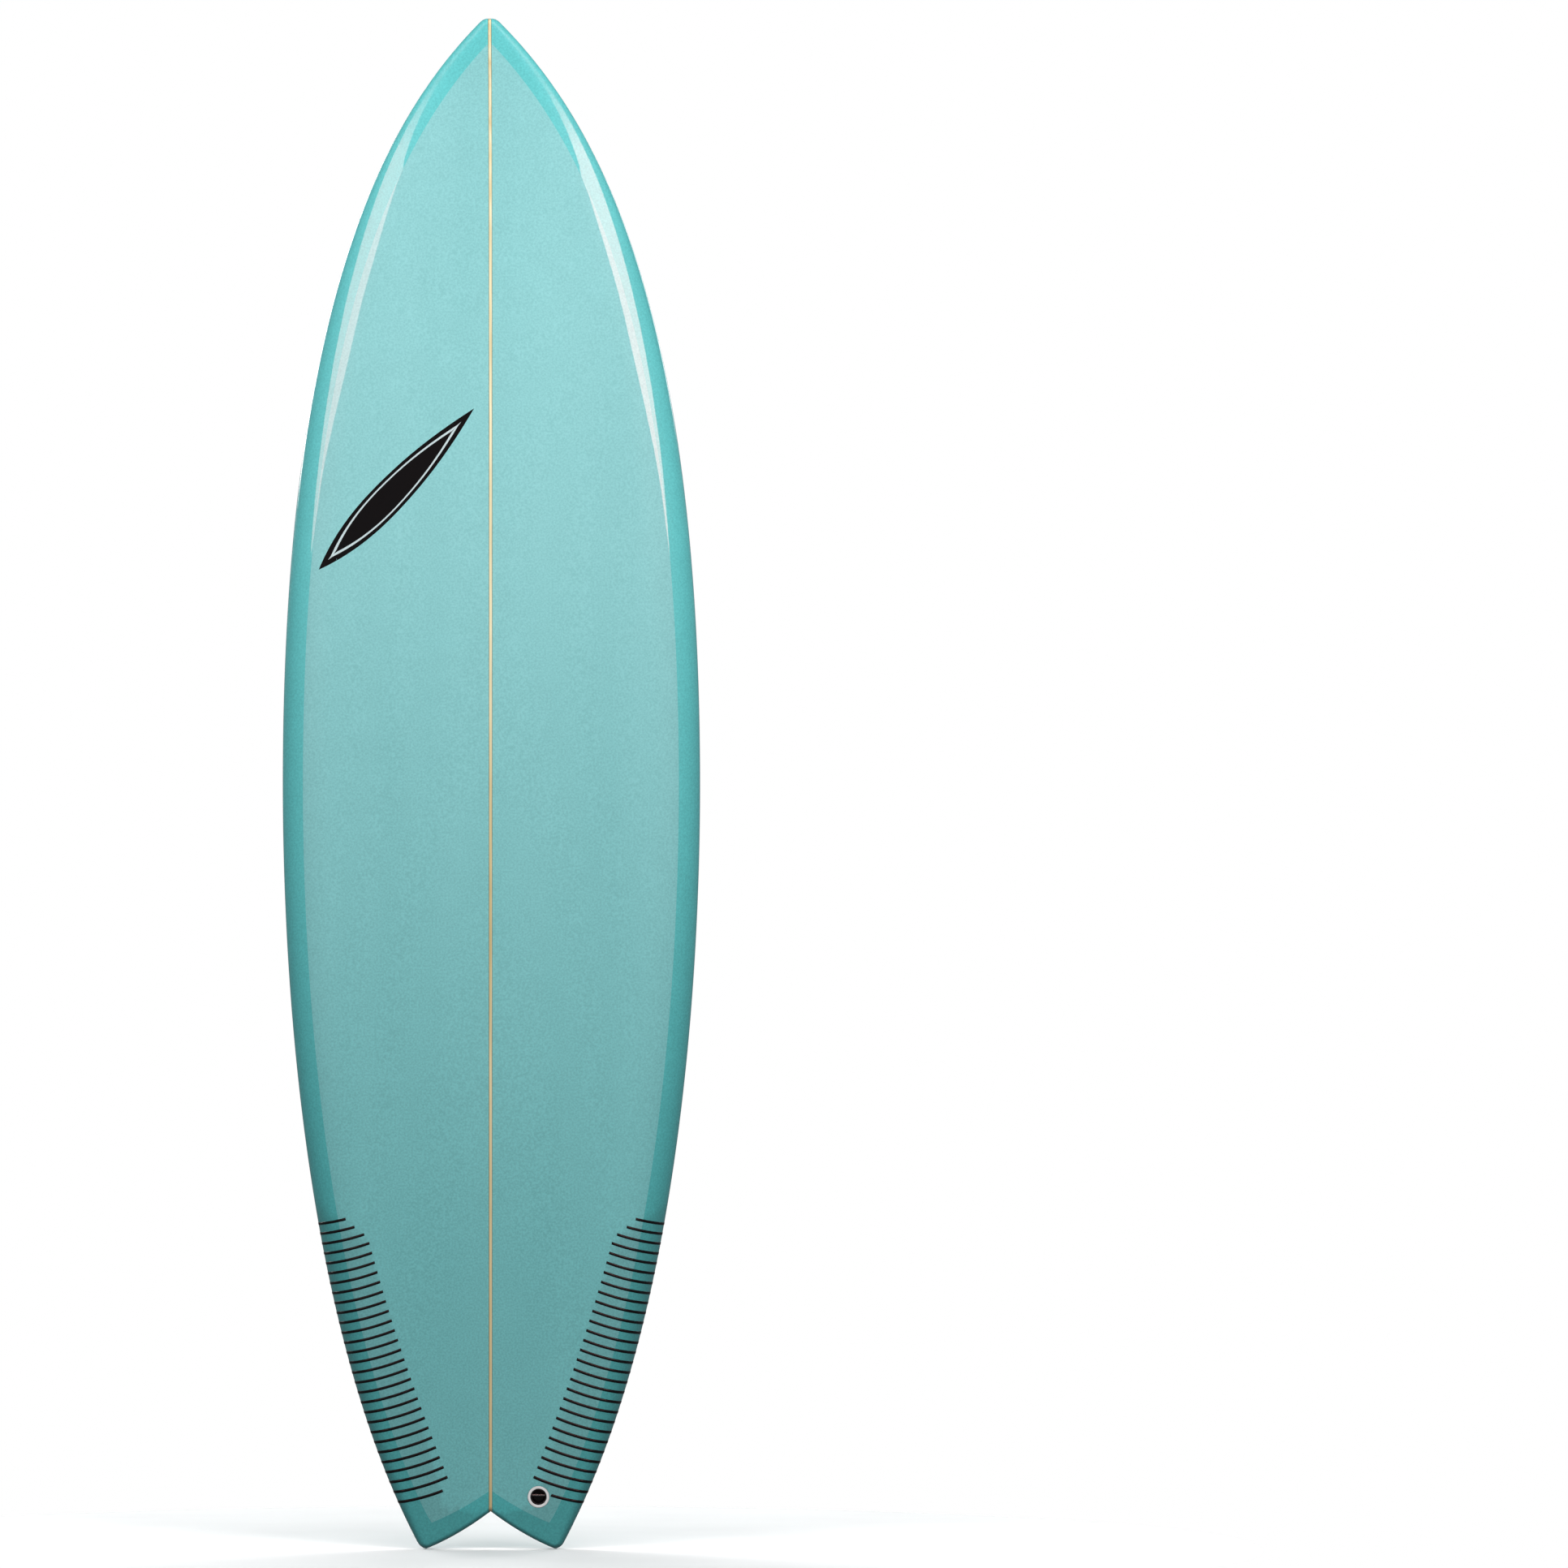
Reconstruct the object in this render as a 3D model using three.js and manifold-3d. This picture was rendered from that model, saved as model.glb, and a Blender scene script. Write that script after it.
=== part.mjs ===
// Shortboard surfboard with a swallow tail: foam blank halves glued to a wooden stringer, glass
// laminates, carbon-strand tail patches, a leash plug, and three click-in fin plugs.
// Millimetres, +Z up. The board stands on its tail tips with the nose up: X runs across to
// starboard, -Y is the deck side, +Y the bottom side, and Z is the station along the board.
import * as THREE from 'three';
import { mergeVertices } from 'three/addons/utils/BufferGeometryUtils.js';
import Module from 'manifold-3d';

const wasm = await Module();
wasm.setup();

// ---------------------------------------------------------------- driving dimensions

const LENGTH = 1880; // tail tips to nose tip
const WIDE_POINT = 940; // station of the widest section
const ROCKER_LOW = 850; // station where the bottom rocker touches its base line
const TAIL_HEIGHT = 61; // middle of the tail tips above the rocker's base line

// Bezier control points, each [station, value]. The outline gives half the width. The two rocker
// lines give heights above the rocker's base line.
const OUTLINE = {
  tail: [[0, 86], [283, 240], [745, 257.5], [WIDE_POINT, 257.5]],
  nose: [[WIDE_POINT, 257.5], [1527, 257.5], [1758, 134.5], [LENGTH, 7.7]],
};
const BOTTOM_ROCKER = {
  tail: [[0, 51.7], [324, 0], [347, 0.3], [ROCKER_LOW, 0.3]],
  nose: [[ROCKER_LOW, 0.3], [1443, 0.3], [1647, 15.5], [LENGTH, 105]],
};
const DECK_ROCKER = {
  tail: [[0, 71], [250, 70], [600, 69.5], [ROCKER_LOW, 68]],
  nose: [[ROCKER_LOW, 68], [1764, 58.7], [1749, 87], [LENGTH, 120]],
};

// Section shape at a few stations, each [station, value], with straight runs between them.
const DECK_ROLL = [[0, 8], [120, 22], [500, 60], [1300, 60], [1700, 45], [LENGTH, 10]];
const BOTTOM_TUCK = [[0, 6], [300, 8], [900, 22], [1500, 30], [LENGTH, 8]];
const APEX_SHARE = [[0, 0.45], [300, 0.34], [900, 0.38], [LENGTH, 0.5]];
const DECK_CROWN = [[0, 0], [120, 1], [500, 8], [900, 11], [1500, 8], [LENGTH, 1]];
const CONCAVE = [[0, 0], [300, 2], [700, 2.5], [1300, 1], [1600, 0], [LENGTH, 0]];

const END_RADIUS = 7; // rounding of the tail edge and the nose, in the thickness
const TAIL_CORNER = 7; // rounding of the tail tips, in plan
const NOSE_CORNER = 4; // rounding of the nose tip, in plan
const NOTCH_DEPTH = 46; // depth of the swallow notch
const NOTCH_HALF = 79; // half the distance between the tail tips
const NOTCH_BOW = 0.3; // how far the notch's two edges bow outwards
const NOTCH_FADE = 180; // station where the sections are straight again

const GAP = 0.3; // clearance between touching pieces
const SKIN = 0.9; // thickness of each laminate
const PATCH = 0.4; // thickness of the tail patches
const UNDER_SKIN = SKIN + GAP; // depth of the first surface below the laminates
const UNDER_PATCH = UNDER_SKIN + PATCH + GAP; // depth of the foam below a tail patch
const LAP = 26; // width of the bottom laminate's lap on the deck
const LAP_TAIL = 29.7; // the same along the tail edge, measured along the board
const STRINGER = 4; // thickness of the stringer

const FIN_PLUG = {
  lobe: 18.5, // radius of the front lobe of the flange
  rearLobe: 17.5,
  lobeStation: 34, // lobe centres, fore and aft of the plug's middle
  waist: 13, // half the flange's width between the lobes
  flangeUnder: 4, // depth of the flange's underside
  bandHalf: 5.5, // half the width of the exposed band
  bandLength: 103,
  bandCorner: 3.4,
  depth: 15.5,
  frontBox: [2, 53], // fore-and-aft extent of the front housing
  rearBox: [-50.5, -12.5],
  frontBoxHalf: 7.4,
  rearBoxHalf: 6,
  slotWidth: 6,
  slotDepth: 13,
  frontSlot: [5, 48],
  rearSlot: [-47, -16],
};
const ROLLER = { radius: 1.7, length: 8.8, along: 46.3, depth: 4 };
const BUMPER = { length: 3, width: 8.4, height: 3.4 };
const POCKET_WALL = 0.3; // clearance around the roller and its bumper
const SCREW = {
  radius: 1.9,
  length: 7.5,
  socket: 1, // half the distance across the flats of the hexagon socket
  socketDepth: 2.8,
  boreRadius: 2.2,
  bossRadius: 4.8,
  lobeRadius: 4.3, // the face's lobe around the bore's mouth
  lobeRoot: 6.5, // half the lobe's length where it leaves the band
  across: 10.5, // distance of the bore's mouth from the slot's middle
  frontAlong: 14.9,
  rearAlong: -36.8,
  tilt: THREE.MathUtils.degToRad(38), // the bore leans towards the slot
  tipAt: 9.5, // distance along the bore from its mouth to the screw's tip
};
const FIN_PLUGS = [
  { side: 'starboard', x: 155.5, station: 323, toe: 3.5, sink: 0.4, frontScrew: 1 },
  { side: 'port', x: -155.5, station: 323, toe: 3.5, sink: 0.4, frontScrew: -1 },
  { side: 'centre', x: 0, station: 142, toe: 0, sink: 0, frontScrew: 1 },
];
const LEASH = {
  x: 59,
  station: 64,
  flangeRadius: 13.25,
  flangeDepth: 2.5,
  bodyRadius: 11.8,
  bodyDepth: 18,
  boreRadius: 10,
  boreDepth: 16.2,
  cupRadius: 9.7,
  cupInner: 8.3,
  cupTop: 0.6,
  cupDepth: 15.6,
  cupFloor: 1.6,
  pinRadius: 1.3,
  pinHalf: 10.8,
  pinHoleRadius: 1.6,
  pinHoleHalf: 11.1,
  pinDepth: 5,
  pinOffset: 2,
};

// Inner edge of the starboard tail patch, as [station, distance from the stringer].
const PATCH_INNER = [[52, 68], [68, 62], [88, 56], [378, 152], [406, 182]];
const PATCH_STOP = 12; // the patch ends this far above the bottom, round the rail

const SECTION_STATIONS = [
  0, 2, 7, 18, 40, 72, 118, 175, 240, 310, 395, 500, 630, 780, 940, 1100, 1250, 1380, 1490,
  1580, 1655, 1715, 1765, 1802, 1831, 1853, 1868, 1877, LENGTH,
];

// ---------------------------------------------------------------- materials

const finish = (color, roughness, metalness = 0) =>
  new THREE.MeshStandardMaterial({ color, roughness, metalness });
const MATERIALS = {
  foam: finish(0xf2efe2, 0.9),
  wood: finish(0xcfb68c, 0.6),
  deckGlass: finish(0x7fc6c6, 0.12),
  bottomGlass: finish(0x4fa9a8, 0.12),
  carbon: finish(0x16181a, 0.4),
  whitePlastic: finish(0xe9e7ea, 0.35),
  blackPlastic: finish(0x121314, 0.4),
  steel: finish(0xb4b6b8, 0.25, 1),
  rubber: finish(0x2a2a2c, 0.8),
};

// ---------------------------------------------------------------- curves of the board

const curveOf = (points) =>
  new THREE.CubicBezierCurve(...points.map(([station, value]) => new THREE.Vector2(station, value)));

// A line of the board as a function of the station: one curve to the tail, one to the nose.
function lineOf({ tail, nose }) {
  const [towardsTail, towardsNose] = [curveOf(tail), curveOf(nose)];
  const split = nose[0][0];
  return (station) => {
    const curve = station < split ? towardsTail : towardsNose;
    let [low, high] = [0, 1];
    for (let step = 0; step < 40; step += 1) {
      const middle = (low + high) / 2;
      if (curve.getPoint(middle).x < station) low = middle;
      else high = middle;
    }
    return curve.getPoint(low).y;
  };
}

const halfWidth = lineOf(OUTLINE);
const bottomLine = lineOf(BOTTOM_ROCKER);
const deckLine = lineOf(DECK_ROCKER);

function alongStations(table, station) {
  const next = table.findIndex(([at]) => at >= station);
  if (next < 0) return table.at(-1)[1];
  if (next === 0) return table[0][1];
  const [[a, from], [b, to]] = [table[next - 1], table[next]];
  return THREE.MathUtils.mapLinear(station, a, b, from, to);
}

// How much longer a step across the board is than the same step square to the outline.
function slant(station) {
  const reach = 2;
  const rise = halfWidth(Math.min(station + reach, LENGTH)) - halfWidth(Math.max(station - reach, 0));
  return Math.hypot(1, rise / (2 * reach));
}

// How far a round edge of this radius has fallen back at a distance in from its end.
function rounding(radius, distance) {
  return distance < radius ? radius - Math.sqrt(radius ** 2 - (radius - distance) ** 2) : 0;
}

// The swallow notch shears the sections: a point moves up the board by this much.
function notchShift(x, station) {
  const t = Math.min(Math.abs(x) / NOTCH_HALF, 1);
  const fade = 1 - THREE.MathUtils.smoothstep(station, 0, NOTCH_FADE);
  return NOTCH_DEPTH * (1 - t) * (1 - NOTCH_BOW * t) * fade;
}

// The station of the section that passes through a point of the board.
function unsheared(x, station) {
  let section = station;
  for (let step = 0; step < 8; step += 1) section = station - notchShift(x, section);
  return section;
}

const place = (x, station, height) => new THREE.Vector3(x, TAIL_HEIGHT - height, station);

// Sizes of one cross-section, for the board's surface pulled in by an inset.
function sectionSizes(station, inset) {
  const fromTail = station - inset;
  const fromNose = LENGTH - inset - station;
  const half =
    halfWidth(station) -
    inset * slant(station) -
    rounding(TAIL_CORNER - inset, fromTail) -
    rounding(NOSE_CORNER - inset, fromNose);
  const fall = rounding(END_RADIUS - inset, Math.min(fromTail, fromNose)) + inset;
  return {
    half,
    fall,
    roll: Math.min(alongStations(DECK_ROLL, station), 0.9 * half),
    tuck: Math.min(alongStations(BOTTOM_TUCK, station), 0.6 * half),
  };
}

function sectionHeights(x, station, { half, fall, tuck }) {
  const at = station + notchShift(x, station);
  const bottom = bottomLine(at) + fall;
  const deck = deckLine(at) - fall;
  const dish = alongStations(CONCAVE, station) * Math.max(0, 1 - (x / (half - tuck)) ** 2);
  const crown = alongStations(DECK_CROWN, station) * (x / half) ** 2;
  return { at, deck: deck - crown, bottom: bottom + dish, apex: alongStations(APEX_SHARE, station) };
}

// Half of a section from the stringer to the rail, along the deck and along the bottom.
function halfSection(station, inset) {
  const sizes = sectionSizes(station, inset);
  const { half, roll, tuck } = sizes;
  const point = (x, level) => {
    const { at, deck, bottom, apex } = sectionHeights(x, station, sizes);
    const apexHeight = bottom + apex * (deck - bottom);
    const end = level < 0 ? bottom : deck;
    return [x, at, apexHeight + Math.abs(level) * (end - apexHeight)];
  };
  const quarter = (width, side, degrees) => {
    const angle = THREE.MathUtils.degToRad(degrees);
    return point(half - width * (1 - Math.cos(angle)), side * Math.sin(angle));
  };
  const deck = [0, 0.5, 1].map((share) => point(share * (half - roll), 1));
  deck.push(...[60, 40, 20, 0].map((degrees) => quarter(roll, 1, degrees)));
  const bottom = [0, 0.35, 0.7, 1].map((share) => point(share * (half - tuck), -1));
  bottom.push(...[55, 25, 0].map((degrees) => quarter(tuck, -1, degrees)));
  return { deck, bottom };
}

// ---------------------------------------------------------------- solids

function toSolid(geometry) {
  const bare = geometry.clone();
  bare.deleteAttribute('normal');
  bare.deleteAttribute('uv');
  const merged = mergeVertices(bare, 1e-4);
  const vertProperties = new Float32Array(merged.attributes.position.array);
  const triVerts = new Uint32Array(merged.index.array);
  return new wasm.Manifold(new wasm.Mesh({ numProp: 3, vertProperties, triVerts }));
}

function toGeometry(solid) {
  const { vertProperties, triVerts } = solid.getMesh();
  const geometry = new THREE.BufferGeometry();
  geometry.setAttribute('position', new THREE.BufferAttribute(vertProperties, 3));
  geometry.setIndex(new THREE.BufferAttribute(triVerts, 1));
  return geometry;
}

const moved = (solid, matrix) => solid.transform(matrix.elements);

// A closed solid through sections. Each has an upper and a lower row of points, of one length.
function loft(sections) {
  const count = sections[0].upper.length;
  const corners = sections.flatMap(({ upper, lower }) => [...upper, ...lower]);
  const at = (section, row, index) => section * 2 * count + row * count + index;
  const triangles = [];
  const quad = (a, b, c, d) => triangles.push([a, b, c], [a, c, d]);
  for (let s = 0; s < sections.length - 1; s += 1) {
    for (let i = 0; i < count - 1; i += 1) {
      quad(at(s, 0, i), at(s, 0, i + 1), at(s + 1, 0, i + 1), at(s + 1, 0, i));
      quad(at(s, 1, i + 1), at(s, 1, i), at(s + 1, 1, i), at(s + 1, 1, i + 1));
    }
    quad(at(s, 1, 0), at(s, 0, 0), at(s + 1, 0, 0), at(s + 1, 1, 0));
    quad(at(s, 0, count - 1), at(s, 1, count - 1), at(s + 1, 1, count - 1), at(s + 1, 0, count - 1));
  }
  const last = sections.length - 1;
  for (let i = 0; i < count - 1; i += 1) {
    quad(at(0, 0, i + 1), at(0, 0, i), at(0, 1, i), at(0, 1, i + 1));
    quad(at(last, 0, i), at(last, 0, i + 1), at(last, 1, i + 1), at(last, 1, i));
  }
  const real = triangles.filter(([a, b, c]) =>
    !corners[a].equals(corners[b]) && !corners[b].equals(corners[c]) && !corners[c].equals(corners[a]));
  const geometry = new THREE.BufferGeometry().setFromPoints(corners);
  geometry.setIndex(real.flat());
  return toSolid(geometry);
}

// The board's whole shape with its surface pulled in by an inset.
function boardShape(inset) {
  const mirrored = (half) => [
    ...half.slice(1).reverse().map(([x, station, height]) => place(-x, station, height)),
    ...half.map(([x, station, height]) => place(x, station, height)),
  ];
  const sections = SECTION_STATIONS.map((nominal) => {
    const station = THREE.MathUtils.mapLinear(nominal, 0, LENGTH, inset, LENGTH - inset);
    const { deck, bottom } = halfSection(station, inset);
    return { upper: mirrored(deck), lower: mirrored(bottom) };
  });
  return loft(sections);
}

// The space between two distances from the stringer and two heights, over a run of stations.
function planRegion(stations, { from, to, low, high }) {
  const columns = [0, 1 / 6, 1 / 3, 1 / 2, 2 / 3, 5 / 6, 1];
  const sections = stations.map((station) => {
    const row = (height) =>
      columns.map((share) => {
        const x = THREE.MathUtils.lerp(from(station), to(station), share);
        const at = station + notchShift(x, station);
        return place(x, at, height(at));
      });
    return { upper: row(high), lower: row(low) };
  });
  return loft(sections);
}

function block([x0, x1], [y0, y1], [z0, z1]) {
  const box = new THREE.BoxGeometry(x1 - x0, y1 - y0, z1 - z0);
  return toSolid(box.translate((x0 + x1) / 2, (y0 + y1) / 2, (z0 + z1) / 2));
}

function prism(shape, z0, z1, curveSegments = 8) {
  const flat = new THREE.ExtrudeGeometry(shape, { depth: z1 - z0, bevelEnabled: false, curveSegments });
  return toSolid(flat.translate(0, 0, z0));
}

// A round bar between two points.
function rod(from, to, radius, sides = 16) {
  const along = to.clone().sub(from);
  const bar = new THREE.CylinderGeometry(radius, radius, along.length(), sides);
  const turn = new THREE.Quaternion().setFromUnitVectors(new THREE.Vector3(0, 1, 0), along.normalize());
  const middle = from.clone().add(to).multiplyScalar(0.5);
  return moved(toSolid(bar), new THREE.Matrix4().compose(middle, turn, new THREE.Vector3(1, 1, 1)));
}

const group = new THREE.Group();

function add(name, solid, material, parent = group) {
  const mesh = new THREE.Mesh(toGeometry(solid), material);
  mesh.name = name;
  parent.add(mesh);
}

// ---------------------------------------------------------------- frames of the plugs

// A frame on the board's surface: +Z points out of the surface and +Y towards the nose, turned
// by the toe-in. face is 1 on the bottom and -1 on the deck; sink moves the frame inwards.
function surfaceFrame({ x, station, sink = 0 }, face, toe = 0) {
  const surface = (across, along) => {
    const section = unsheared(across, along);
    const { deck, bottom } = sectionHeights(across, section, sectionSizes(section, 0));
    return place(across, along, face > 0 ? bottom : deck);
  };
  const reach = 20;
  const forward = surface(x, station + reach).sub(surface(x, station - reach)).normalize();
  const sideways = surface(x + reach, station).sub(surface(x - reach, station)).normalize();
  const out = forward.clone().cross(sideways).multiplyScalar(face).normalize();
  forward.applyAxisAngle(out, THREE.MathUtils.degToRad(toe));
  const across = forward.clone().cross(out);
  const frame = new THREE.Matrix4().makeBasis(across, forward, out);
  return frame.setPosition(surface(x, station).addScaledVector(out, -sink));
}

// ---------------------------------------------------------------- fin plug

// Outline of the flange: two round lobes joined through a narrower waist by smooth curves.
function flangeOutline(grow) {
  const { lobe, rearLobe, lobeStation, waist } = FIN_PLUG;
  const [front, rear, neck] = [lobe + grow, rearLobe + grow, waist + grow];
  const shoulder = 12;
  const shape = new THREE.Shape();
  shape.absarc(0, lobeStation, front, 0, Math.PI, false);
  shape.bezierCurveTo(-front, lobeStation - shoulder, -neck, shoulder, -neck, 0);
  shape.bezierCurveTo(-neck, -shoulder, -rear, shoulder - lobeStation, -rear, -lobeStation);
  shape.absarc(0, -lobeStation, rear, Math.PI, 2 * Math.PI, false);
  shape.bezierCurveTo(rear, shoulder - lobeStation, neck, -shoulder, neck, 0);
  shape.bezierCurveTo(neck, shoulder, front, lobeStation - shoulder, front, lobeStation);
  return shape;
}

function bandOutline(grow) {
  const corner = FIN_PLUG.bandCorner + grow;
  const side = FIN_PLUG.bandHalf + grow - corner;
  const end = FIN_PLUG.bandLength / 2 + grow - corner;
  const shape = new THREE.Shape();
  shape.absarc(side, end, corner, 0, Math.PI / 2, false);
  shape.absarc(-side, end, corner, Math.PI / 2, Math.PI, false);
  shape.absarc(-side, -end, corner, Math.PI, 1.5 * Math.PI, false);
  shape.absarc(side, -end, corner, 1.5 * Math.PI, 2 * Math.PI, false);
  return shape;
}

// The two screws of a plug: side is 1 or -1 across the slot, along the place on the plug.
const screwPlaces = ({ frontScrew }) => [
  { name: 'front', side: frontScrew, along: SCREW.frontAlong },
  { name: 'rear', side: -frontScrew, along: SCREW.rearAlong },
];

// The point at a distance down the screw's bore from its mouth.
function downBore({ side, along }, distance) {
  const across = SCREW.across - distance * Math.sin(SCREW.tilt);
  return new THREE.Vector3(side * across, along, -distance * Math.cos(SCREW.tilt));
}

// The lobe of the exposed face around one screw: it narrows from the band to the bore's mouth.
function screwLobe({ side, along }, grow, low, high) {
  const { across, lobeRadius, lobeRoot } = SCREW;
  const mouth = new THREE.Shape();
  mouth.absarc(side * across, along, lobeRadius + grow, 0, 2 * Math.PI, false);
  const inBand = FIN_PLUG.bandHalf - 1;
  const root = block([-inBand, inBand], [along - lobeRoot - grow, along + lobeRoot + grow], [low, high]);
  return root.add(prism(mouth, low, high, 20)).hull();
}

// Everything of a plug that shows at the surface: the band and the lobes around the screws.
function plugFace(plug, grow, low, high) {
  const lobes = screwPlaces(plug).map((screw) => screwLobe(screw, grow, low, high));
  return lobes.reduce((solid, lobe) => solid.add(lobe), prism(bandOutline(grow), low, high));
}

// The housings below the flange, and the bosses of the screws' bores.
function plugHousings(plug, grow) {
  const { frontBox, rearBox, frontBoxHalf, rearBoxHalf, depth, flangeUnder } = FIN_PLUG;
  const wide = ([from, to]) => [from - grow, to + grow];
  const levels = [-depth - grow, -flangeUnder / 2];
  const front = block(wide([-frontBoxHalf, frontBoxHalf]), wide(frontBox), levels);
  const rear = block(wide([-rearBoxHalf, rearBoxHalf]), wide(rearBox), levels);
  const bossFrom = 2;
  const bossTo = 13;
  return screwPlaces(plug).reduce(
    (solid, screw) =>
      solid.add(rod(downBore(screw, bossFrom), downBore(screw, bossTo), SCREW.bossRadius + grow)),
    front.add(rear),
  );
}

function finPlugBody(plug, blank) {
  const { slotWidth, slotDepth, frontSlot, rearSlot, flangeUnder } = FIN_PLUG;
  const flangeTop = 5; // above the surface, before the board's shape trims it
  const flange = prism(flangeOutline(0), -flangeUnder, flangeTop);
  const housings = plugHousings(plug, 0);
  const hidden = flange.add(housings).intersect(blank);
  const face = plugFace(plug, 0, -flangeUnder / 2, 0);
  const acrossSlot = [-slotWidth / 2, slotWidth / 2];
  const openTop = 1;
  const slots = [frontSlot, rearSlot].map((run) => block(acrossSlot, run, [-slotDepth, openTop]));
  const { radius, length, along, depth } = ROLLER;
  const pocketHalf = length / 2 + POCKET_WALL;
  const pocketEnd = along + radius + BUMPER.length + 2 * POCKET_WALL;
  const pocket = block(
    [-pocketHalf, pocketHalf],
    [along - radius - POCKET_WALL / 2, pocketEnd],
    [-depth - radius - POCKET_WALL, -depth + radius + POCKET_WALL],
  );
  const intoSlot = (SCREW.across - slotWidth / 2 + 1) / Math.sin(SCREW.tilt);
  const bores = screwPlaces(plug).map((screw) =>
    rod(downBore(screw, -openTop), downBore(screw, intoSlot), SCREW.boreRadius));
  return [...slots, pocket, ...bores].reduce((solid, cut) => solid.subtract(cut), hidden.add(face));
}

// The pocket that a plug needs in the blank.
function finPlugPocket(plug) {
  const above = 6;
  return prism(flangeOutline(GAP), -FIN_PLUG.flangeUnder - GAP, above).add(plugHousings(plug, GAP));
}

function roller() {
  const { radius, length, along, depth } = ROLLER;
  const end = (side) => new THREE.Vector3((side * length) / 2, along, -depth);
  return rod(end(-1), end(1), radius);
}

function bumper() {
  const { length, width, height } = BUMPER;
  const start = ROLLER.along + ROLLER.radius + POCKET_WALL;
  const levels = [-ROLLER.depth - height / 2, -ROLLER.depth + height / 2];
  return block([-width / 2, width / 2], [start, start + length], levels);
}

function grubScrew(screw) {
  const head = SCREW.tipAt - SCREW.length;
  const shank = rod(downBore(screw, head), downBore(screw, SCREW.tipAt), SCREW.radius);
  const cornerRadius = SCREW.socket / Math.cos(Math.PI / 6);
  const above = 1;
  const floor = head + SCREW.socketDepth;
  return shank.subtract(rod(downBore(screw, head - above), downBore(screw, floor), cornerRadius, 6));
}

// ---------------------------------------------------------------- leash plug

function turned(profile, segments = 32) {
  const lathe = new THREE.LatheGeometry(profile.map(([r, z]) => new THREE.Vector2(r, z)), segments);
  return toSolid(lathe.rotateX(Math.PI / 2));
}

function leashPin(radius, half) {
  const { pinOffset, pinDepth } = LEASH;
  const end = (side) => new THREE.Vector3(side * half, pinOffset, -pinDepth);
  return rod(end(-1), end(1), radius);
}

function leashBody() {
  const { flangeRadius, flangeDepth, bodyRadius, bodyDepth, boreRadius, boreDepth } = LEASH;
  const shell = turned([
    [0, -bodyDepth],
    [bodyRadius, -bodyDepth],
    [bodyRadius, -flangeDepth],
    [flangeRadius, -flangeDepth],
    [flangeRadius, 0],
    [boreRadius, 0],
    [boreRadius, -boreDepth],
    [0, -boreDepth],
  ]);
  return shell.subtract(leashPin(LEASH.pinHoleRadius, LEASH.pinHoleHalf));
}

function leashCup() {
  const { cupRadius, cupInner, cupTop, cupDepth, cupFloor } = LEASH;
  const cup = turned([
    [0, -cupDepth],
    [cupRadius, -cupDepth],
    [cupRadius, -cupTop],
    [cupInner, -cupTop],
    [cupInner, cupFloor - cupDepth],
    [0, cupFloor - cupDepth],
  ]);
  return cup.subtract(leashPin(LEASH.pinHoleRadius, LEASH.pinHoleHalf));
}

function leashPocket() {
  const { flangeRadius, flangeDepth, bodyRadius, bodyDepth } = LEASH;
  const above = 6;
  return turned([
    [0, -bodyDepth - GAP],
    [bodyRadius + GAP, -bodyDepth - GAP],
    [bodyRadius + GAP, -flangeDepth - GAP],
    [flangeRadius + GAP, -flangeDepth - GAP],
    [flangeRadius + GAP, above],
    [0, above],
  ]);
}

// ---------------------------------------------------------------- blank, laminates and patches

// The part of the deck inside the lap line, grown by a clearance all round.
function deckPanelRegion(grow) {
  const start = LAP_TAIL - grow;
  const end = LENGTH - LAP * Math.SQRT2 + grow;
  const inner = SECTION_STATIONS.filter((station) => station > start + 1 && station < end - 1);
  const halfPanel = (station) => Math.max(halfWidth(station) + (grow - LAP) * slant(station), 0.5);
  const above = 40;
  return planRegion([start, ...inner, end], {
    from: (station) => -halfPanel(station),
    to: halfPanel,
    low: (station) => (bottomLine(station) + deckLine(station)) / 2,
    high: (station) => deckLine(station) + above,
  });
}

function patchRegion(grow) {
  const stations = SECTION_STATIONS.filter((station) => station > 60 && station < 400);
  const above = 40;
  return planRegion([PATCH_INNER[0][0] - grow, ...stations, PATCH_INNER.at(-1)[0] + grow], {
    from: (station) => alongStations(PATCH_INNER, station) - grow,
    to: (station) => halfWidth(station) + above,
    low: (station) => bottomLine(station) + PATCH_STOP - grow,
    high: (station) => deckLine(station) + above,
  });
}

const mirrorAcross = (solid) => solid.mirror([1, 0, 0]);

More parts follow.
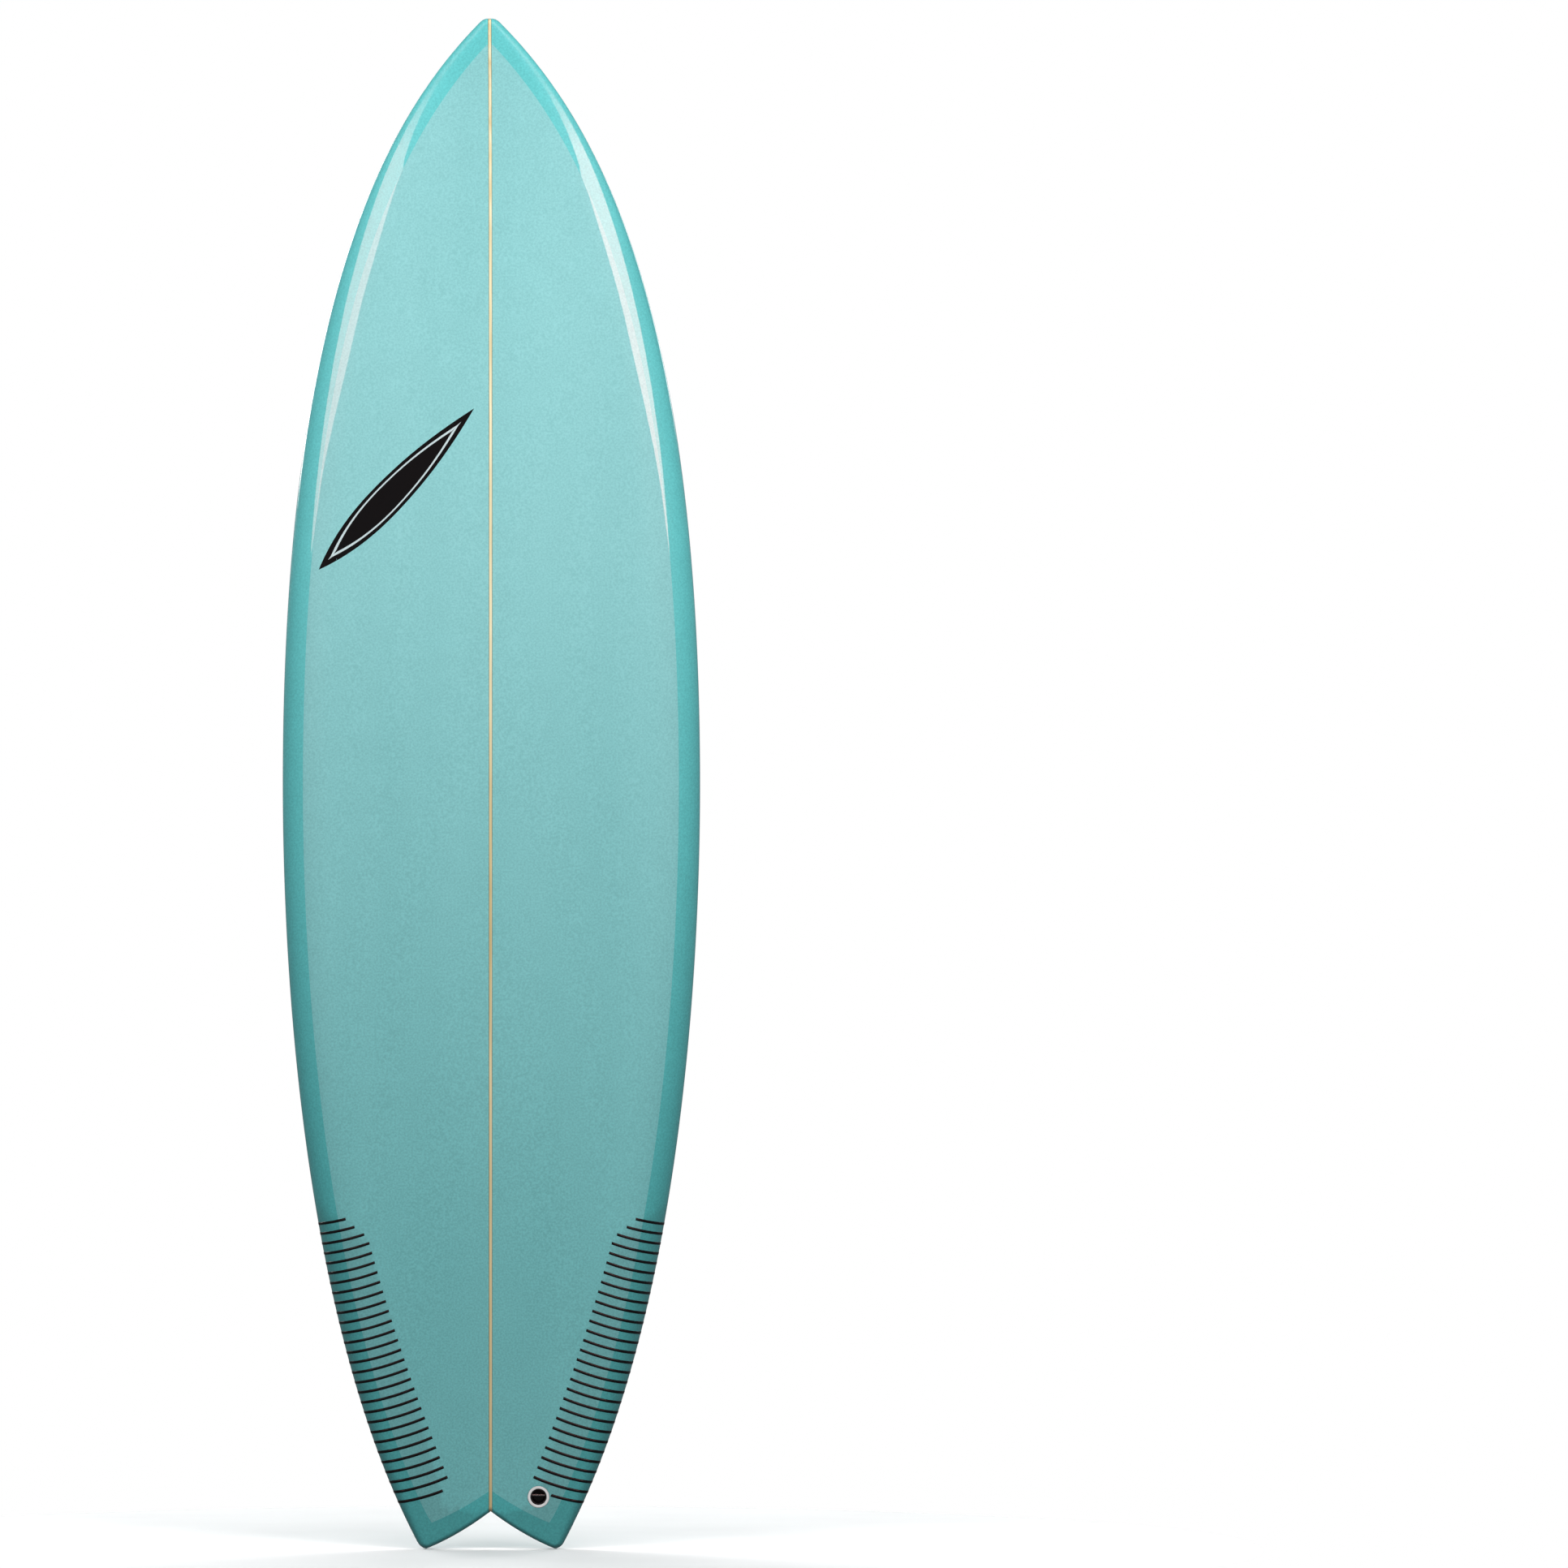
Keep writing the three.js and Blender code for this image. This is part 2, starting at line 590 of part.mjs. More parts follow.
function buildBoard(finFrames, leashFrame) {
  const leashHole = moved(leashPocket(), leashFrame);
  const finHoles = finFrames.map(({ plug, frame }) => moved(finPlugPocket(plug), frame));
  const finWindows = finFrames.map(({ plug, frame }) =>
    moved(plugFace(plug, GAP, -FIN_PLUG.flangeUnder, FIN_PLUG.flangeUnder), frame));
  const shell = boardShape(0).subtract(boardShape(SKIN));
  const without = (solid, cuts) => cuts.reduce((rest, cut) => rest.subtract(cut), solid);

  add('deck_laminate', shell.intersect(deckPanelRegion(0)).subtract(leashHole), MATERIALS.deckGlass);
  const wrap = shell.subtract(deckPanelRegion(GAP));
  add('bottom_laminate', without(wrap, [...finWindows, leashHole]), MATERIALS.bottomGlass);

  const underSkin = boardShape(UNDER_SKIN);
  const patchLayer = underSkin.subtract(boardShape(UNDER_SKIN + PATCH)).subtract(leashHole);
  const patch = patchRegion(0);
  add('tail_patch_starboard', patchLayer.intersect(patch), MATERIALS.carbon);
  add('tail_patch_port', patchLayer.intersect(mirrorAcross(patch)), MATERIALS.carbon);

  const patchSpace = patchRegion(GAP);
  const recessed = without(underSkin, [patchSpace, mirrorAcross(patchSpace)]).add(boardShape(UNDER_PATCH));
  const blank = without(recessed, [leashHole, ...finHoles]);
  const wide = 400;
  const depthRun = [-wide, wide];
  const lengthRun = [-wide, LENGTH + wide];
  const glueLine = STRINGER / 2 + GAP;
  add('foam_core_starboard', blank.intersect(block([glueLine, wide], depthRun, lengthRun)), MATERIALS.foam);
  add('foam_core_port', blank.intersect(block([-wide, -glueLine], depthRun, lengthRun)), MATERIALS.foam);
  const slice = block([-STRINGER / 2, STRINGER / 2], depthRun, lengthRun);
  add('stringer', blank.intersect(slice), MATERIALS.wood);
  return underSkin;
}

function placedGroup(frame) {
  const placed = new THREE.Group();
  frame.decompose(placed.position, placed.quaternion, placed.scale);
  group.add(placed);
  return placed;
}

function buildFinPlug({ plug, frame }, underSkin) {
  const placed = placedGroup(frame);
  const blank = moved(underSkin, frame.clone().invert());
  const { side } = plug;
  add(`fin_plug_body_${side}`, finPlugBody(plug, blank), MATERIALS.whitePlastic, placed);
  add(`fin_plug_roller_${side}`, roller(), MATERIALS.steel, placed);
  add(`fin_plug_bumper_${side}`, bumper(), MATERIALS.rubber, placed);
  for (const screw of screwPlaces(plug)) {
    add(`grub_screw_${side}_${screw.name}`, grubScrew(screw), MATERIALS.steel, placed);
  }
}

function buildLeashPlug(frame) {
  const placed = placedGroup(frame);
  add('leash_plug_body', leashBody(), MATERIALS.whitePlastic, placed);
  add('leash_plug_cup', leashCup(), MATERIALS.blackPlastic, placed);
  add('leash_plug_pin', leashPin(LEASH.pinRadius, LEASH.pinHalf), MATERIALS.steel, placed);
}

const finFrames = FIN_PLUGS.map((plug) => {
  const outward = Math.sign(plug.x);
  return { plug, frame: surfaceFrame(plug, 1, -outward * plug.toe) };
});
const leashFrame = surfaceFrame(LEASH, -1);
const underSkin = buildBoard(finFrames, leashFrame);
finFrames.forEach((plugAndFrame) => buildFinPlug(plugAndFrame, underSkin));
buildLeashPlug(leashFrame);

export default group;
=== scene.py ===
"""Looks of the swallow-tail shortboard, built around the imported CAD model.

The board's surface repeats the CAD's curves, so each skin lies where its laminate does. Lengths
in the shape functions are millimetres, with the station measured from the tail tips to the nose.
Meshes are made in metres: +Z to the nose, +X to starboard, -Y out of the deck.
"""

import math

import bmesh
import bpy
import numpy as np
from mathutils import Matrix, Vector
from mathutils.geometry import delaunay_2d_cdt


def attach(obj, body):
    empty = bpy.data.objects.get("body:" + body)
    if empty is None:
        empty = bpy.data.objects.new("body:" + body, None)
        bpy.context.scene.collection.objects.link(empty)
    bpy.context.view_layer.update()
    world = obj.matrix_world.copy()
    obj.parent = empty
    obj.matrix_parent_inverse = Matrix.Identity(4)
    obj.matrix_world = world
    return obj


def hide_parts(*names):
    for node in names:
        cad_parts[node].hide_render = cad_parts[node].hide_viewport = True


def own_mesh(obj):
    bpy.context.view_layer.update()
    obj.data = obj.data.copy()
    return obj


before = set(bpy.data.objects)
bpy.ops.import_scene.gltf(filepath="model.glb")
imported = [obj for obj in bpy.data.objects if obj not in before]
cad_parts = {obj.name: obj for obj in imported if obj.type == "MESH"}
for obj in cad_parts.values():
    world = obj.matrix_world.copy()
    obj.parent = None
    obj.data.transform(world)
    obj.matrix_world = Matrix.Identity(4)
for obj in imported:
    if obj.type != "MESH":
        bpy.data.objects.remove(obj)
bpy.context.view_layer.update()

MM = 0.001
ROOT = "board"

# ---- the board's curves

LENGTH = 1880.0
WIDE_POINT = 940.0
ROCKER_LOW = 850.0
TAIL_HEIGHT = 61.0
OUTLINE = (
    [(0, 86), (283, 240), (745, 257.5), (WIDE_POINT, 257.5)],
    [(WIDE_POINT, 257.5), (1527, 257.5), (1758, 134.5), (LENGTH, 7.7)],
)
BOTTOM_ROCKER = (
    [(0, 51.7), (324, 0), (347, 0.3), (ROCKER_LOW, 0.3)],
    [(ROCKER_LOW, 0.3), (1443, 0.3), (1647, 15.5), (LENGTH, 105)],
)
DECK_ROCKER = (
    [(0, 71), (250, 70), (600, 69.5), (ROCKER_LOW, 68)],
    [(ROCKER_LOW, 68), (1764, 58.7), (1749, 87), (LENGTH, 120)],
)
SECTION_TABLES = {
    "roll": [(0, 8), (120, 22), (500, 60), (1300, 60), (1700, 45), (LENGTH, 10)],
    "tuck": [(0, 6), (300, 8), (900, 22), (1500, 30), (LENGTH, 8)],
    "apex": [(0, 0.45), (300, 0.34), (900, 0.38), (LENGTH, 0.5)],
    "crown": [(0, 0), (120, 1), (500, 8), (900, 11), (1500, 8), (LENGTH, 1)],
    "concave": [(0, 0), (300, 2), (700, 2.5), (1300, 1), (1600, 0), (LENGTH, 0)],
}
END_RADIUS = 7.0
TAIL_CORNER = 7.0
NOSE_CORNER = 4.0
NOTCH_DEPTH = 46.0
NOTCH_HALF = 79.0
NOTCH_BOW = 0.3
NOTCH_FADE = 180.0
LAP = 26.0
LAP_TAIL = 29.7
ROLL_LIMIT = 0.9  # shares of the half width that the deck's roll and the bottom's tuck may take
TUCK_LIMIT = 0.6
EVERY_MM = np.arange(0, LENGTH + 1)


def bezier(points, shares):
    """Points of a cubic curve at these shares of its run."""
    t = np.asarray(shares)[:, None]
    weights = ((1 - t) ** 3, 3 * t * (1 - t) ** 2, 3 * t**2 * (1 - t), t**3)
    return sum(w * q for w, q in zip(weights, np.array(points, float)))


def bezier_line(curves):
    """A line of the board, read every millimetre."""
    line = np.vstack([bezier(points, np.linspace(0, 1, 1500)) for points in curves])
    return np.interp(EVERY_MM, line[:, 0], line[:, 1])


def eased_table(table, reach=70):
    """A table of (station, value) read every millimetre, with its corners rounded off."""
    stations, values = zip(*table)
    padded = np.arange(-reach, LENGTH + reach + 1)
    straight = np.interp(padded, stations, values)
    window = np.hanning(2 * reach + 1)
    return np.convolve(straight, window / window.sum(), mode="valid")


HALF_WIDTH = bezier_line(OUTLINE)
BOTTOM_LINE = bezier_line(BOTTOM_ROCKER)
DECK_LINE = bezier_line(DECK_ROCKER)
SLANT = np.hypot(1, np.gradient(HALF_WIDTH))
EASED = {name: eased_table(table) for name, table in SECTION_TABLES.items()}


def read(line, station):
    return np.interp(station, EVERY_MM, line)


def rounding(radius, distance):
    inside = np.clip(radius - distance, 0, radius)
    return radius - np.sqrt(radius**2 - inside**2)


def notch_shift(x, station):
    t = np.minimum(np.abs(x) / NOTCH_HALF, 1)
    ease = np.clip(station / NOTCH_FADE, 0, 1)
    fade = 1 - ease**2 * (3 - 2 * ease)
    return NOTCH_DEPTH * (1 - t) * (1 - NOTCH_BOW * t) * fade


def unsheared(x, station):
    """The station of the section that passes through a point of the board."""
    section = station
    for _ in range(12):
        section = station - notch_shift(x, section)
    return section


def half_width(station):
    corners = rounding(TAIL_CORNER, station) + rounding(NOSE_CORNER, LENGTH - station)
    return read(HALF_WIDTH, station) - corners


def surface(x, station, deck):
    """A point of the deck or of the bottom on the section at a station, as (x, y, z) in mm."""
    half = half_width(station)
    fall = rounding(END_RADIUS, np.minimum(station, LENGTH - station))
    at = station + notch_shift(x, station)
    across = np.minimum(np.abs(x) / half, 1)
    roll = np.minimum(read(EASED["roll"], station), ROLL_LIMIT * half)
    tuck = np.minimum(read(EASED["tuck"], station), TUCK_LIMIT * half)
    dish = np.maximum(0, 1 - (x / (half - tuck)) ** 2)
    low = read(BOTTOM_LINE, at) + fall + read(EASED["concave"], station) * dish
    high = read(DECK_LINE, at) - fall - read(EASED["crown"], station) * across**2
    apex = low + read(EASED["apex"], station) * (high - low)
    width = roll if deck else tuck
    inward = np.clip(half * (1 - across) / width, 0, 1)
    level = np.sqrt(1 - (1 - inward) ** 2)
    height = apex + level * ((high if deck else low) - apex)
    return np.stack(np.broadcast_arrays(x, TAIL_HEIGHT - height, at), axis=-1)


def point_on(x, z, deck):
    """The point of the deck or the bottom at this x and this height z above the tail tips."""
    return surface(np.asarray(x, float), unsheared(x, np.asarray(z, float)), deck)


def tangents(x, z, deck, reach):
    """The directions across and along the surface, taken over this reach to each side."""
    across = point_on(x + reach, z, deck) - point_on(x - reach, z, deck)
    return across, point_on(x, z + reach, deck) - point_on(x, z - reach, deck)


def surface_normal(x, z, deck):
    out = np.cross(*tangents(x, z, deck, 2.0)) * (1 if deck else -1)
    return out / np.linalg.norm(out, axis=-1, keepdims=True)


# ---- objects and meshes


def add_object(name, data):
    """A new object in the scene for this mesh, light or camera."""
    made = bpy.data.objects.new(name, data)
    bpy.context.collection.objects.link(made)
    return made


def object_from(name, vertices, faces, smooth=True, materials=()):
    mesh = bpy.data.meshes.new(name)
    mesh.from_pydata([tuple(v) for v in vertices], [], faces)
    mesh.polygons.foreach_set("use_smooth", [smooth] * len(mesh.polygons))
    mesh.update()
    for material in materials:
        mesh.materials.append(material)
    return add_object(name, mesh)


def set_attribute(mesh, name, values, domain="POINT"):
    """Numbers that the mesh's material reads, one for each corner or point."""
    mesh.attributes.new(name, "FLOAT", domain).data.foreach_set("value", values)


# ---- camera, lights and floor

VIEW_DISTANCE = 16.0
PHOTO_SPAN = 1.930  # metres that the square picture covers at the board
BOARD_MIDDLE_Z = 0.941
CAMERA_X = 0.361  # the board stands in the picture's left third
SENSOR_WIDTH = 36.0
FLOOR_RADIUS = 0.95
FLOOR_Z = -0.0005  # just below the tail tips


def add_camera():
    data = bpy.data.cameras.new("camera")
    data.sensor_width = SENSOR_WIDTH
    data.lens = SENSOR_WIDTH * VIEW_DISTANCE / PHOTO_SPAN
    data.clip_end = 100
    camera = add_object("camera", data)
    camera.location = (CAMERA_X, -VIEW_DISTANCE, BOARD_MIDDLE_Z)
    camera.rotation_euler = (math.radians(90), 0, 0)
    bpy.context.scene.camera = camera


def add_softbox(name, place, target, size, power, color=(1, 1, 1), in_gloss=True):
    """A soft light at a place, turned to a target. Out of the gloss, it leaves no reflection."""
    data = bpy.data.lights.new(name, "AREA")
    data.shape = "RECTANGLE"
    data.size, data.size_y = size
    data.energy = power
    data.color = color
    light = add_object(name, data)
    light.location = place
    towards = Vector(target) - Vector(place)
    light.rotation_euler = towards.to_track_quat("-Z", "Y").to_euler()
    light.visible_glossy = in_gloss
    return light


# Each window is (x, lower edge, width, height, lean in degrees, daylight, sheen). Daylight lights
# the board and sheen is what the gloss mirrors, both as power for each square metre.
WINDOWS = {
    "deck": ((-2.05, 1.53, 2.0, 1.15, 5, 12, 23), (1.62, 1.56, 2.1, 1.2, -8, 16, 35)),
    "bottom": ((-1.85, 1.56, 1.5, 0.9, 0, 21, 24), (1.75, 1.70, 0.95, 0.8, 0, 9, 14)),
}
SHEEN_COLOR = {"deck": (1.0, 0.5, 0.46), "bottom": (1.0, 0.9, 0.88)}
WASH_POWER = {"deck": 56, "bottom": 84}
TOP_POWER = {"deck": 38, "bottom": 44}
DAY_AT, SHEEN_AT = 2.3, 2.2  # distances of the two window lights from the board
ROOM_STRENGTH = 0.13


def add_window(name, side_y, window, color):
    x, low, width, tall, lean, daylight, sheen = window
    height, size, area = low + tall / 2, (width, tall), width * tall
    target = (x, 0, height)
    place = (x, DAY_AT * side_y, height)
    day = add_softbox(f"{name}_day", place, target, size, daylight * area, in_gloss=False)
    nearer = (x, SHEEN_AT * side_y, height)
    mirror = add_softbox(f"{name}_sheen", nearer, target, size, sheen * area, color)
    mirror.visible_diffuse = False
    for light in (day, mirror):
        light.rotation_euler.rotate_axis("Z", math.radians(lean))


def add_lights():
    """On each side two windows, two washes from the sides and one light from above."""
    for face, side_y in (("deck", -1), ("bottom", 1)):
        for index, window in enumerate(WINDOWS[face]):
            add_window(f"window_{face}_{index}", side_y, window, SHEEN_COLOR[face])
        for x in (-2.2, 2.2):
            place, power = (x, 3.0 * side_y, 2.3), WASH_POWER[face] / 2
            size = (1.6, 1.6)
            add_softbox(f"wash_{face}", place, (0, 0, 1.5), size, power, in_gloss=False)
        place, size, power = (0, 2.4 * side_y, 3.4), (2, 1), TOP_POWER[face]
        add_softbox(f"top_{face}", place, (0, 0, 1.4), size, power, in_gloss=False)
    lamp = add_softbox("high_lamp", (-0.5, 2.3, 2.42), (-0.5, 0, 2.42), (0.84, 0.13), 2.6)
    lamp.data.shape = "ELLIPSE"


def add_floor():
    """A plain pale disc under the board. It takes the board's shadow and gives no light back."""
    bpy.ops.mesh.primitive_circle_add(vertices=96, radius=FLOOR_RADIUS, fill_type="NGON")
    floor = bpy.context.object
    floor.name = "floor"
    floor.location = (0, 0, FLOOR_Z)
    floor.visible_diffuse = False
    floor.visible_glossy = False
    shader = Shader("floor_paint", Roughness=0.9, Specular_IOR_Level=0.0)
    shader.color(shader.mottle(4, 2, srgb(246, 246, 246), srgb(252, 252, 252)))
    floor.data.materials.append(shader.material)


def add_world():
    """A white backdrop for the camera, and a faint cool room for every other ray."""
    world = bpy.data.worlds.new("studio")
    world.use_nodes = True
    nodes, links = world.node_tree.nodes, world.node_tree.links
    nodes.clear()
    output = nodes.new("ShaderNodeOutputWorld")
    rays = nodes.new("ShaderNodeLightPath")
    mix = nodes.new("ShaderNodeMixShader")
    links.new(rays.outputs["Is Camera Ray"], mix.inputs["Fac"])
    room, backdrop = ((0.92, 0.96, 1.0, 1), ROOM_STRENGTH), ((1, 1, 1, 1), 1.0)
    for slot, (color, strength) in enumerate((room, backdrop), start=1):
        background = nodes.new("ShaderNodeBackground")
        background.inputs["Color"].default_value = color
        background.inputs["Strength"].default_value = strength
        links.new(background.outputs["Background"], mix.inputs[slot])
    links.new(mix.outputs["Shader"], output.inputs["Surface"])
    bpy.context.scene.world = world
    bpy.context.scene.view_settings.view_transform = "Standard"


# ---- material helpers


class Shader:
    """A material under construction: short calls for the nodes that the finishes share."""

    def __init__(self, name, **finish):
        self.material = bpy.data.materials.new(name)
        self.material.use_nodes = True
        self.nodes = self.material.node_tree.nodes
        self.base = self.nodes["Principled BSDF"]
        self.set(self.base, **{"Coat_Roughness": 0.05, **finish})
        self.place = self.nodes.new("ShaderNodeTexCoord").outputs["Object"]

    def feed(self, socket, value):
        """Links another socket to this one, or gives it a value. A colour is three numbers."""
        if isinstance(value, bpy.types.NodeSocket):
            self.material.node_tree.links.new(value, socket)
        else:
            socket.default_value = (*value, 1) if socket.type == "RGBA" else value

    def set(self, node, **inputs):
        """Feeds a node's inputs by name, with _ in place of a space."""
        for name, value in inputs.items():
            self.feed(node.inputs[name.replace("_", " ")], value)

    def add(self, kind, output, **inputs):
        """Adds a node and gives the socket of one of its outputs."""
        node = self.nodes.new(f"ShaderNode{kind}")
        self.set(node, **inputs)
        return node.outputs[output]

    def height(self):
        """The height along the board, in metres from the tail tips."""
        return self.add("SeparateXYZ", "Z", Vector=self.place)

    def nose_light_share(self):
        """0 near the tail and 1 near the nose, for painted light: colours painted paler towards the
        nose, where more light falls.
        """
        return self.spread(self.height(), 0.35, 1.25)

    def noise(self, scale, detail, stretch=(1, 1, 1)):
        place = self.add("Mapping", "Vector", Vector=self.place, Scale=stretch)
        return self.add("TexNoise", "Fac", Vector=place, Scale=scale, Detail=detail)

    def spread(self, value, low, high, out_low=0.0, out_high=1.0):
        ends = {"From_Min": low, "From_Max": high, "To_Min": out_low, "To_Max": out_high}
        return self.add("MapRange", "Result", Value=value, **ends)

    def attribute(self, name):
        node = self.nodes.new("ShaderNodeAttribute")
        node.attribute_name = name
        return node.outputs["Fac"]

    def mix(self, factor, first, second, blend="MIX"):
        node = self.nodes.new("ShaderNodeMix")
        node.data_type = "RGBA"
        node.blend_type = blend
        sockets = (node.inputs["Factor"], node.inputs[6], node.inputs[7])
        for socket, value in zip(sockets, (factor, first, second)):
            self.feed(socket, value)
        return node.outputs[2]

    def mottle(self, scale, detail, dark, light, low=0.3, stretch=(1, 1, 1)):
        """A colour that drifts between two others with a noise, sharper with a higher low."""
        share = self.spread(self.noise(scale, detail, stretch), low, 1 - low)
        return self.mix(share, dark, light)

    def color(self, value):
        self.set(self.base, Base_Color=value)

    def vary_roughness(self, value, low, high):
        self.set(self.base, Roughness=self.spread(value, 0.3, 0.7, low, high))

    def bump(self, height, strength, distance):
        ways = {"Strength": strength, "Distance": distance}
        self.set(self.base, Normal=self.add("Bump", "Normal", Height=height, **ways))


def srgb(*levels):
    """Linear colour from 8-bit sRGB levels."""
    shares = [level / 255 for level in levels]
    return tuple(s / 12.92 if s <= 0.04045 else ((s + 0.055) / 1.055) ** 2.4 for s in shares)


NO_LIGHT, FULL_LIGHT = (0, 0, 0), (1, 1, 1)
POLISH = 0.016  # roughness of the polished coat
STREAKS, CLOUDS, SPECKLE = 0.09, 0.04, 0.1  # how strongly each shows in the foam's grain


def glossy(name, roughness, coat=1.0, **finish):
    finish = {"Coat_Weight": coat, "Coat_Roughness": POLISH, **finish}
    return Shader(name, Roughness=roughness, **finish)


def grain(shader, color):
    """Foam seen through tinted glass: soft streaks along the board and a fine speckle."""
    streaks = shader.mottle(9, 2, (0.2, 0.5, 0.5), FULL_LIGHT, 0.35, (1, 1, 0.09))
    color = shader.mix(STREAKS, color, streaks, "MULTIPLY")
    color = shader.mix(CLOUDS, color, shader.mottle(30, 4, (0.2, 0.2, 0.2), FULL_LIGHT), "MULTIPLY")
    dots = shader.mottle(440, 3, NO_LIGHT, FULL_LIGHT, 0.35)
    return shader.mix(SPECKLE, color, dots, "OVERLAY")


def coat_waves(shader):
    """The long, very low waves that sanding by hand leaves in the gloss coat."""
    shader.bump(shader.noise(14, 1, (1, 1, 0.12)), 0.12, 0.0006)


# Painted light: every glass tint here is painted paler towards the nose, where more light falls.
# Each is (colour near the tail, colour near the nose).
DECK_SINGLE = (srgb(119, 190, 191), srgb(142, 203, 204))
BOTTOM_SINGLE = (srgb(130, 208, 209), srgb(153, 207, 208))
DOUBLE_GLASS = (srgb(83, 177, 178), srgb(104, 200, 201))
DULL_FROM, DULL_FULL = 1.72, 1.80  # heights between which the gloss fades to DULL_COAT
DULL_COAT = 0.15


def glass_material(name, single_glass):
    """Gloss over tinted glass, with the attributes for doubled glass and for the strand cloth."""
    shader = glossy(name, 0.45, Specular_IOR_Level=0.15)
    # Painted light: the glass's own tint is painted paler towards the nose, where more light falls.
    paler = shader.nose_light_share()
    single = shader.mix(paler, *single_glass)
    double = shader.mix(paler, *DOUBLE_GLASS)
    tint_and_nose_light = shader.mix(shader.attribute("layers"), single, double)
    cloth = shader.mix(shader.attribute("patch"), (1, 1, 1), (0.86, 0.82, 0.82))
    tint_and_nose_light = shader.mix(1.0, tint_and_nose_light, cloth, "MULTIPLY")
    shader.color(grain(shader, tint_and_nose_light))
    coat_waves(shader)
    duller_tip = shader.spread(shader.height(), DULL_FROM, DULL_FULL, 1.0, DULL_COAT)
    shader.set(shader.base, Coat_Weight=duller_tip)
    return shader.material


def wood_material():
    shader = glossy("stringer_wood", 0.2)
    # Painted light: the wood is painted paler towards the nose, where more light falls.
    paler = shader.nose_light_share()
    dark = shader.mix(paler, srgb(208, 178, 126), srgb(232, 210, 160))
    light = shader.mix(paler, srgb(238, 213, 168), srgb(255, 243, 206))
    color = shader.mottle(260, 3, dark, light, 0.35, (1, 1, 0.012))
    flecks = shader.mottle(120, 2, (0.6, 0.5, 0.35), FULL_LIGHT, stretch=(1, 1, 0.15))
    shader.color(shader.mix(0.25, color, flecks, "MULTIPLY"))
    return shader.material


def glue_material():
    shader = glossy("stringer_glue", 0.25)
    dark, light = srgb(70, 84, 66), srgb(112, 120, 92)
    shader.color(shader.mottle(180, 3, dark, light, stretch=(1, 1, 0.1)))
    return shader.material


def plastic_material(name, dark, light, roughness=0.38, bump=0.05):
    shader = Shader(name, Roughness=roughness)
    shader.color(shader.mottle(90, 4, dark, light))
    shader.vary_roughness(shader.noise(260, 2), roughness - 0.06, roughness + 0.08)
    shader.bump(shader.noise(2600, 2), bump, 0.0001)
    return shader.material


def steel_material():
    shader = Shader("stainless_steel", Roughness=0.26, Metallic=1.0)
    turned = shader.noise(900, 2, (1, 0.1, 1))
    shader.color(shader.mix(shader.spread(turned, 0.3, 0.7), (0.4, 0.4, 0.4), (0.68, 0.68, 0.67)))
    shader.vary_roughness(turned, 0.2, 0.36)
    return shader.material


def carbon_material():
    finish = {"Coat_Weight": 0.2, "Coat_Roughness": 0.04, "Specular_IOR_Level": 0.2}
    shader = Shader("carbon_strand", Roughness=0.4, **finish)
    dark, light = (0.001, 0.001, 0.001), (0.008, 0.008, 0.009)
    shader.color(shader.mottle(2200, 2, dark, light, 0.35, (0.05, 0.3, 1)))
    return shader.material


def flange_material():
    """White plastic under clear glass: a cool grey with a paler rim where the glass meets it."""
    shader = glossy("flange_under_glass", 0.18)
    inner = shader.mottle(160, 4, srgb(202, 198, 210), srgb(214, 211, 221))
    color = shader.mix(shader.attribute("edge"), inner, srgb(222, 222, 232))
    dots = shader.mottle(950, 2, NO_LIGHT, FULL_LIGHT, 0.35)
    shader.color(shader.mix(0.05, color, dots, "OVERLAY"))
    return shader.material


def decal_material(name, dark, light):
    """A print under the gloss coat."""
    shader = glossy(name, 0.5, 0.8, Specular_IOR_Level=0.05)
    shader.color(shader.mottle(1200, 3, dark, light))
    coat_waves(shader)
    return shader.material


def foam_material():
    shader = Shader("foam", Roughness=0.9)
    shader.color(shader.mottle(1500, 3, srgb(232, 228, 214), srgb(248, 246, 238)))
    shader.bump(shader.noise(1500, 3), 0.3, 0.0003)
    return shader.material


# ---- plugs: places and outlines

FIN_PLUGS = (
    {"side": "starboard", "x": 155.5, "z": 323.0, "toe": -3.5, "sink": 0.4, "front": 1},
    {"side": "port", "x": -155.5, "z": 323.0, "toe": 3.5, "sink": 0.4, "front": -1},
    {"side": "centre", "x": 0.0, "z": 142.0, "toe": 0.0, "sink": 0.0, "front": 1},
)
BAND_HALF = 5.5
BAND_LENGTH = 103.0
BAND_CORNER = 3.4
SCREW_ACROSS = 10.5
SCREW_FRONT = 14.9
SCREW_REAR = -36.8
SCREW_TILT = math.radians(38)
LOBE_RADIUS = 4.3
LOBE_ROOT = 6.5
FLANGE_LOBE = 18.5
FLANGE_REAR_LOBE = 17.5
FLANGE_LOBE_AT = 34.0
FLANGE_WAIST = 13.0
# The leash plug: its place, its radii and its depths below the deck.
LEASH = {"x": 59.0, "z": 64.0, "ring": 13.25, "shell": 11.8, "hole": 9.7, "cup": 8.3}
LEASH |= {"depth": 18, "floor": 16.2, "rim": 2.5}


def plug_frame(x, z, deck, toe=0.0, sink=0.0):
    """A frame on the surface: X across, Y towards the nose, Z out of the board, in metres."""
    sideways, forward = [Vector(line).normalized() for line in tangents(x, z, deck, 20.0)]
    out = (forward.cross(sideways) * (-1 if deck else 1)).normalized()
    forward = Matrix.Rotation(math.radians(toe), 3, out) @ forward
    across = forward.cross(out)
    origin = (Vector(point_on(x, z, deck)) - out * sink) * MM
    place = Matrix((across, forward, out)).transposed().to_4x4()
    place.translation = origin
    return place


def arc(centre, radius, start, end, steps=6):
    """Points of an arc, with its angles in degrees."""
    angles = [math.radians(start + (end - start) * i / steps) for i in range(steps + 1)]
    return [(centre[0] + radius * math.cos(a), centre[1] + radius * math.sin(a)) for a in angles]


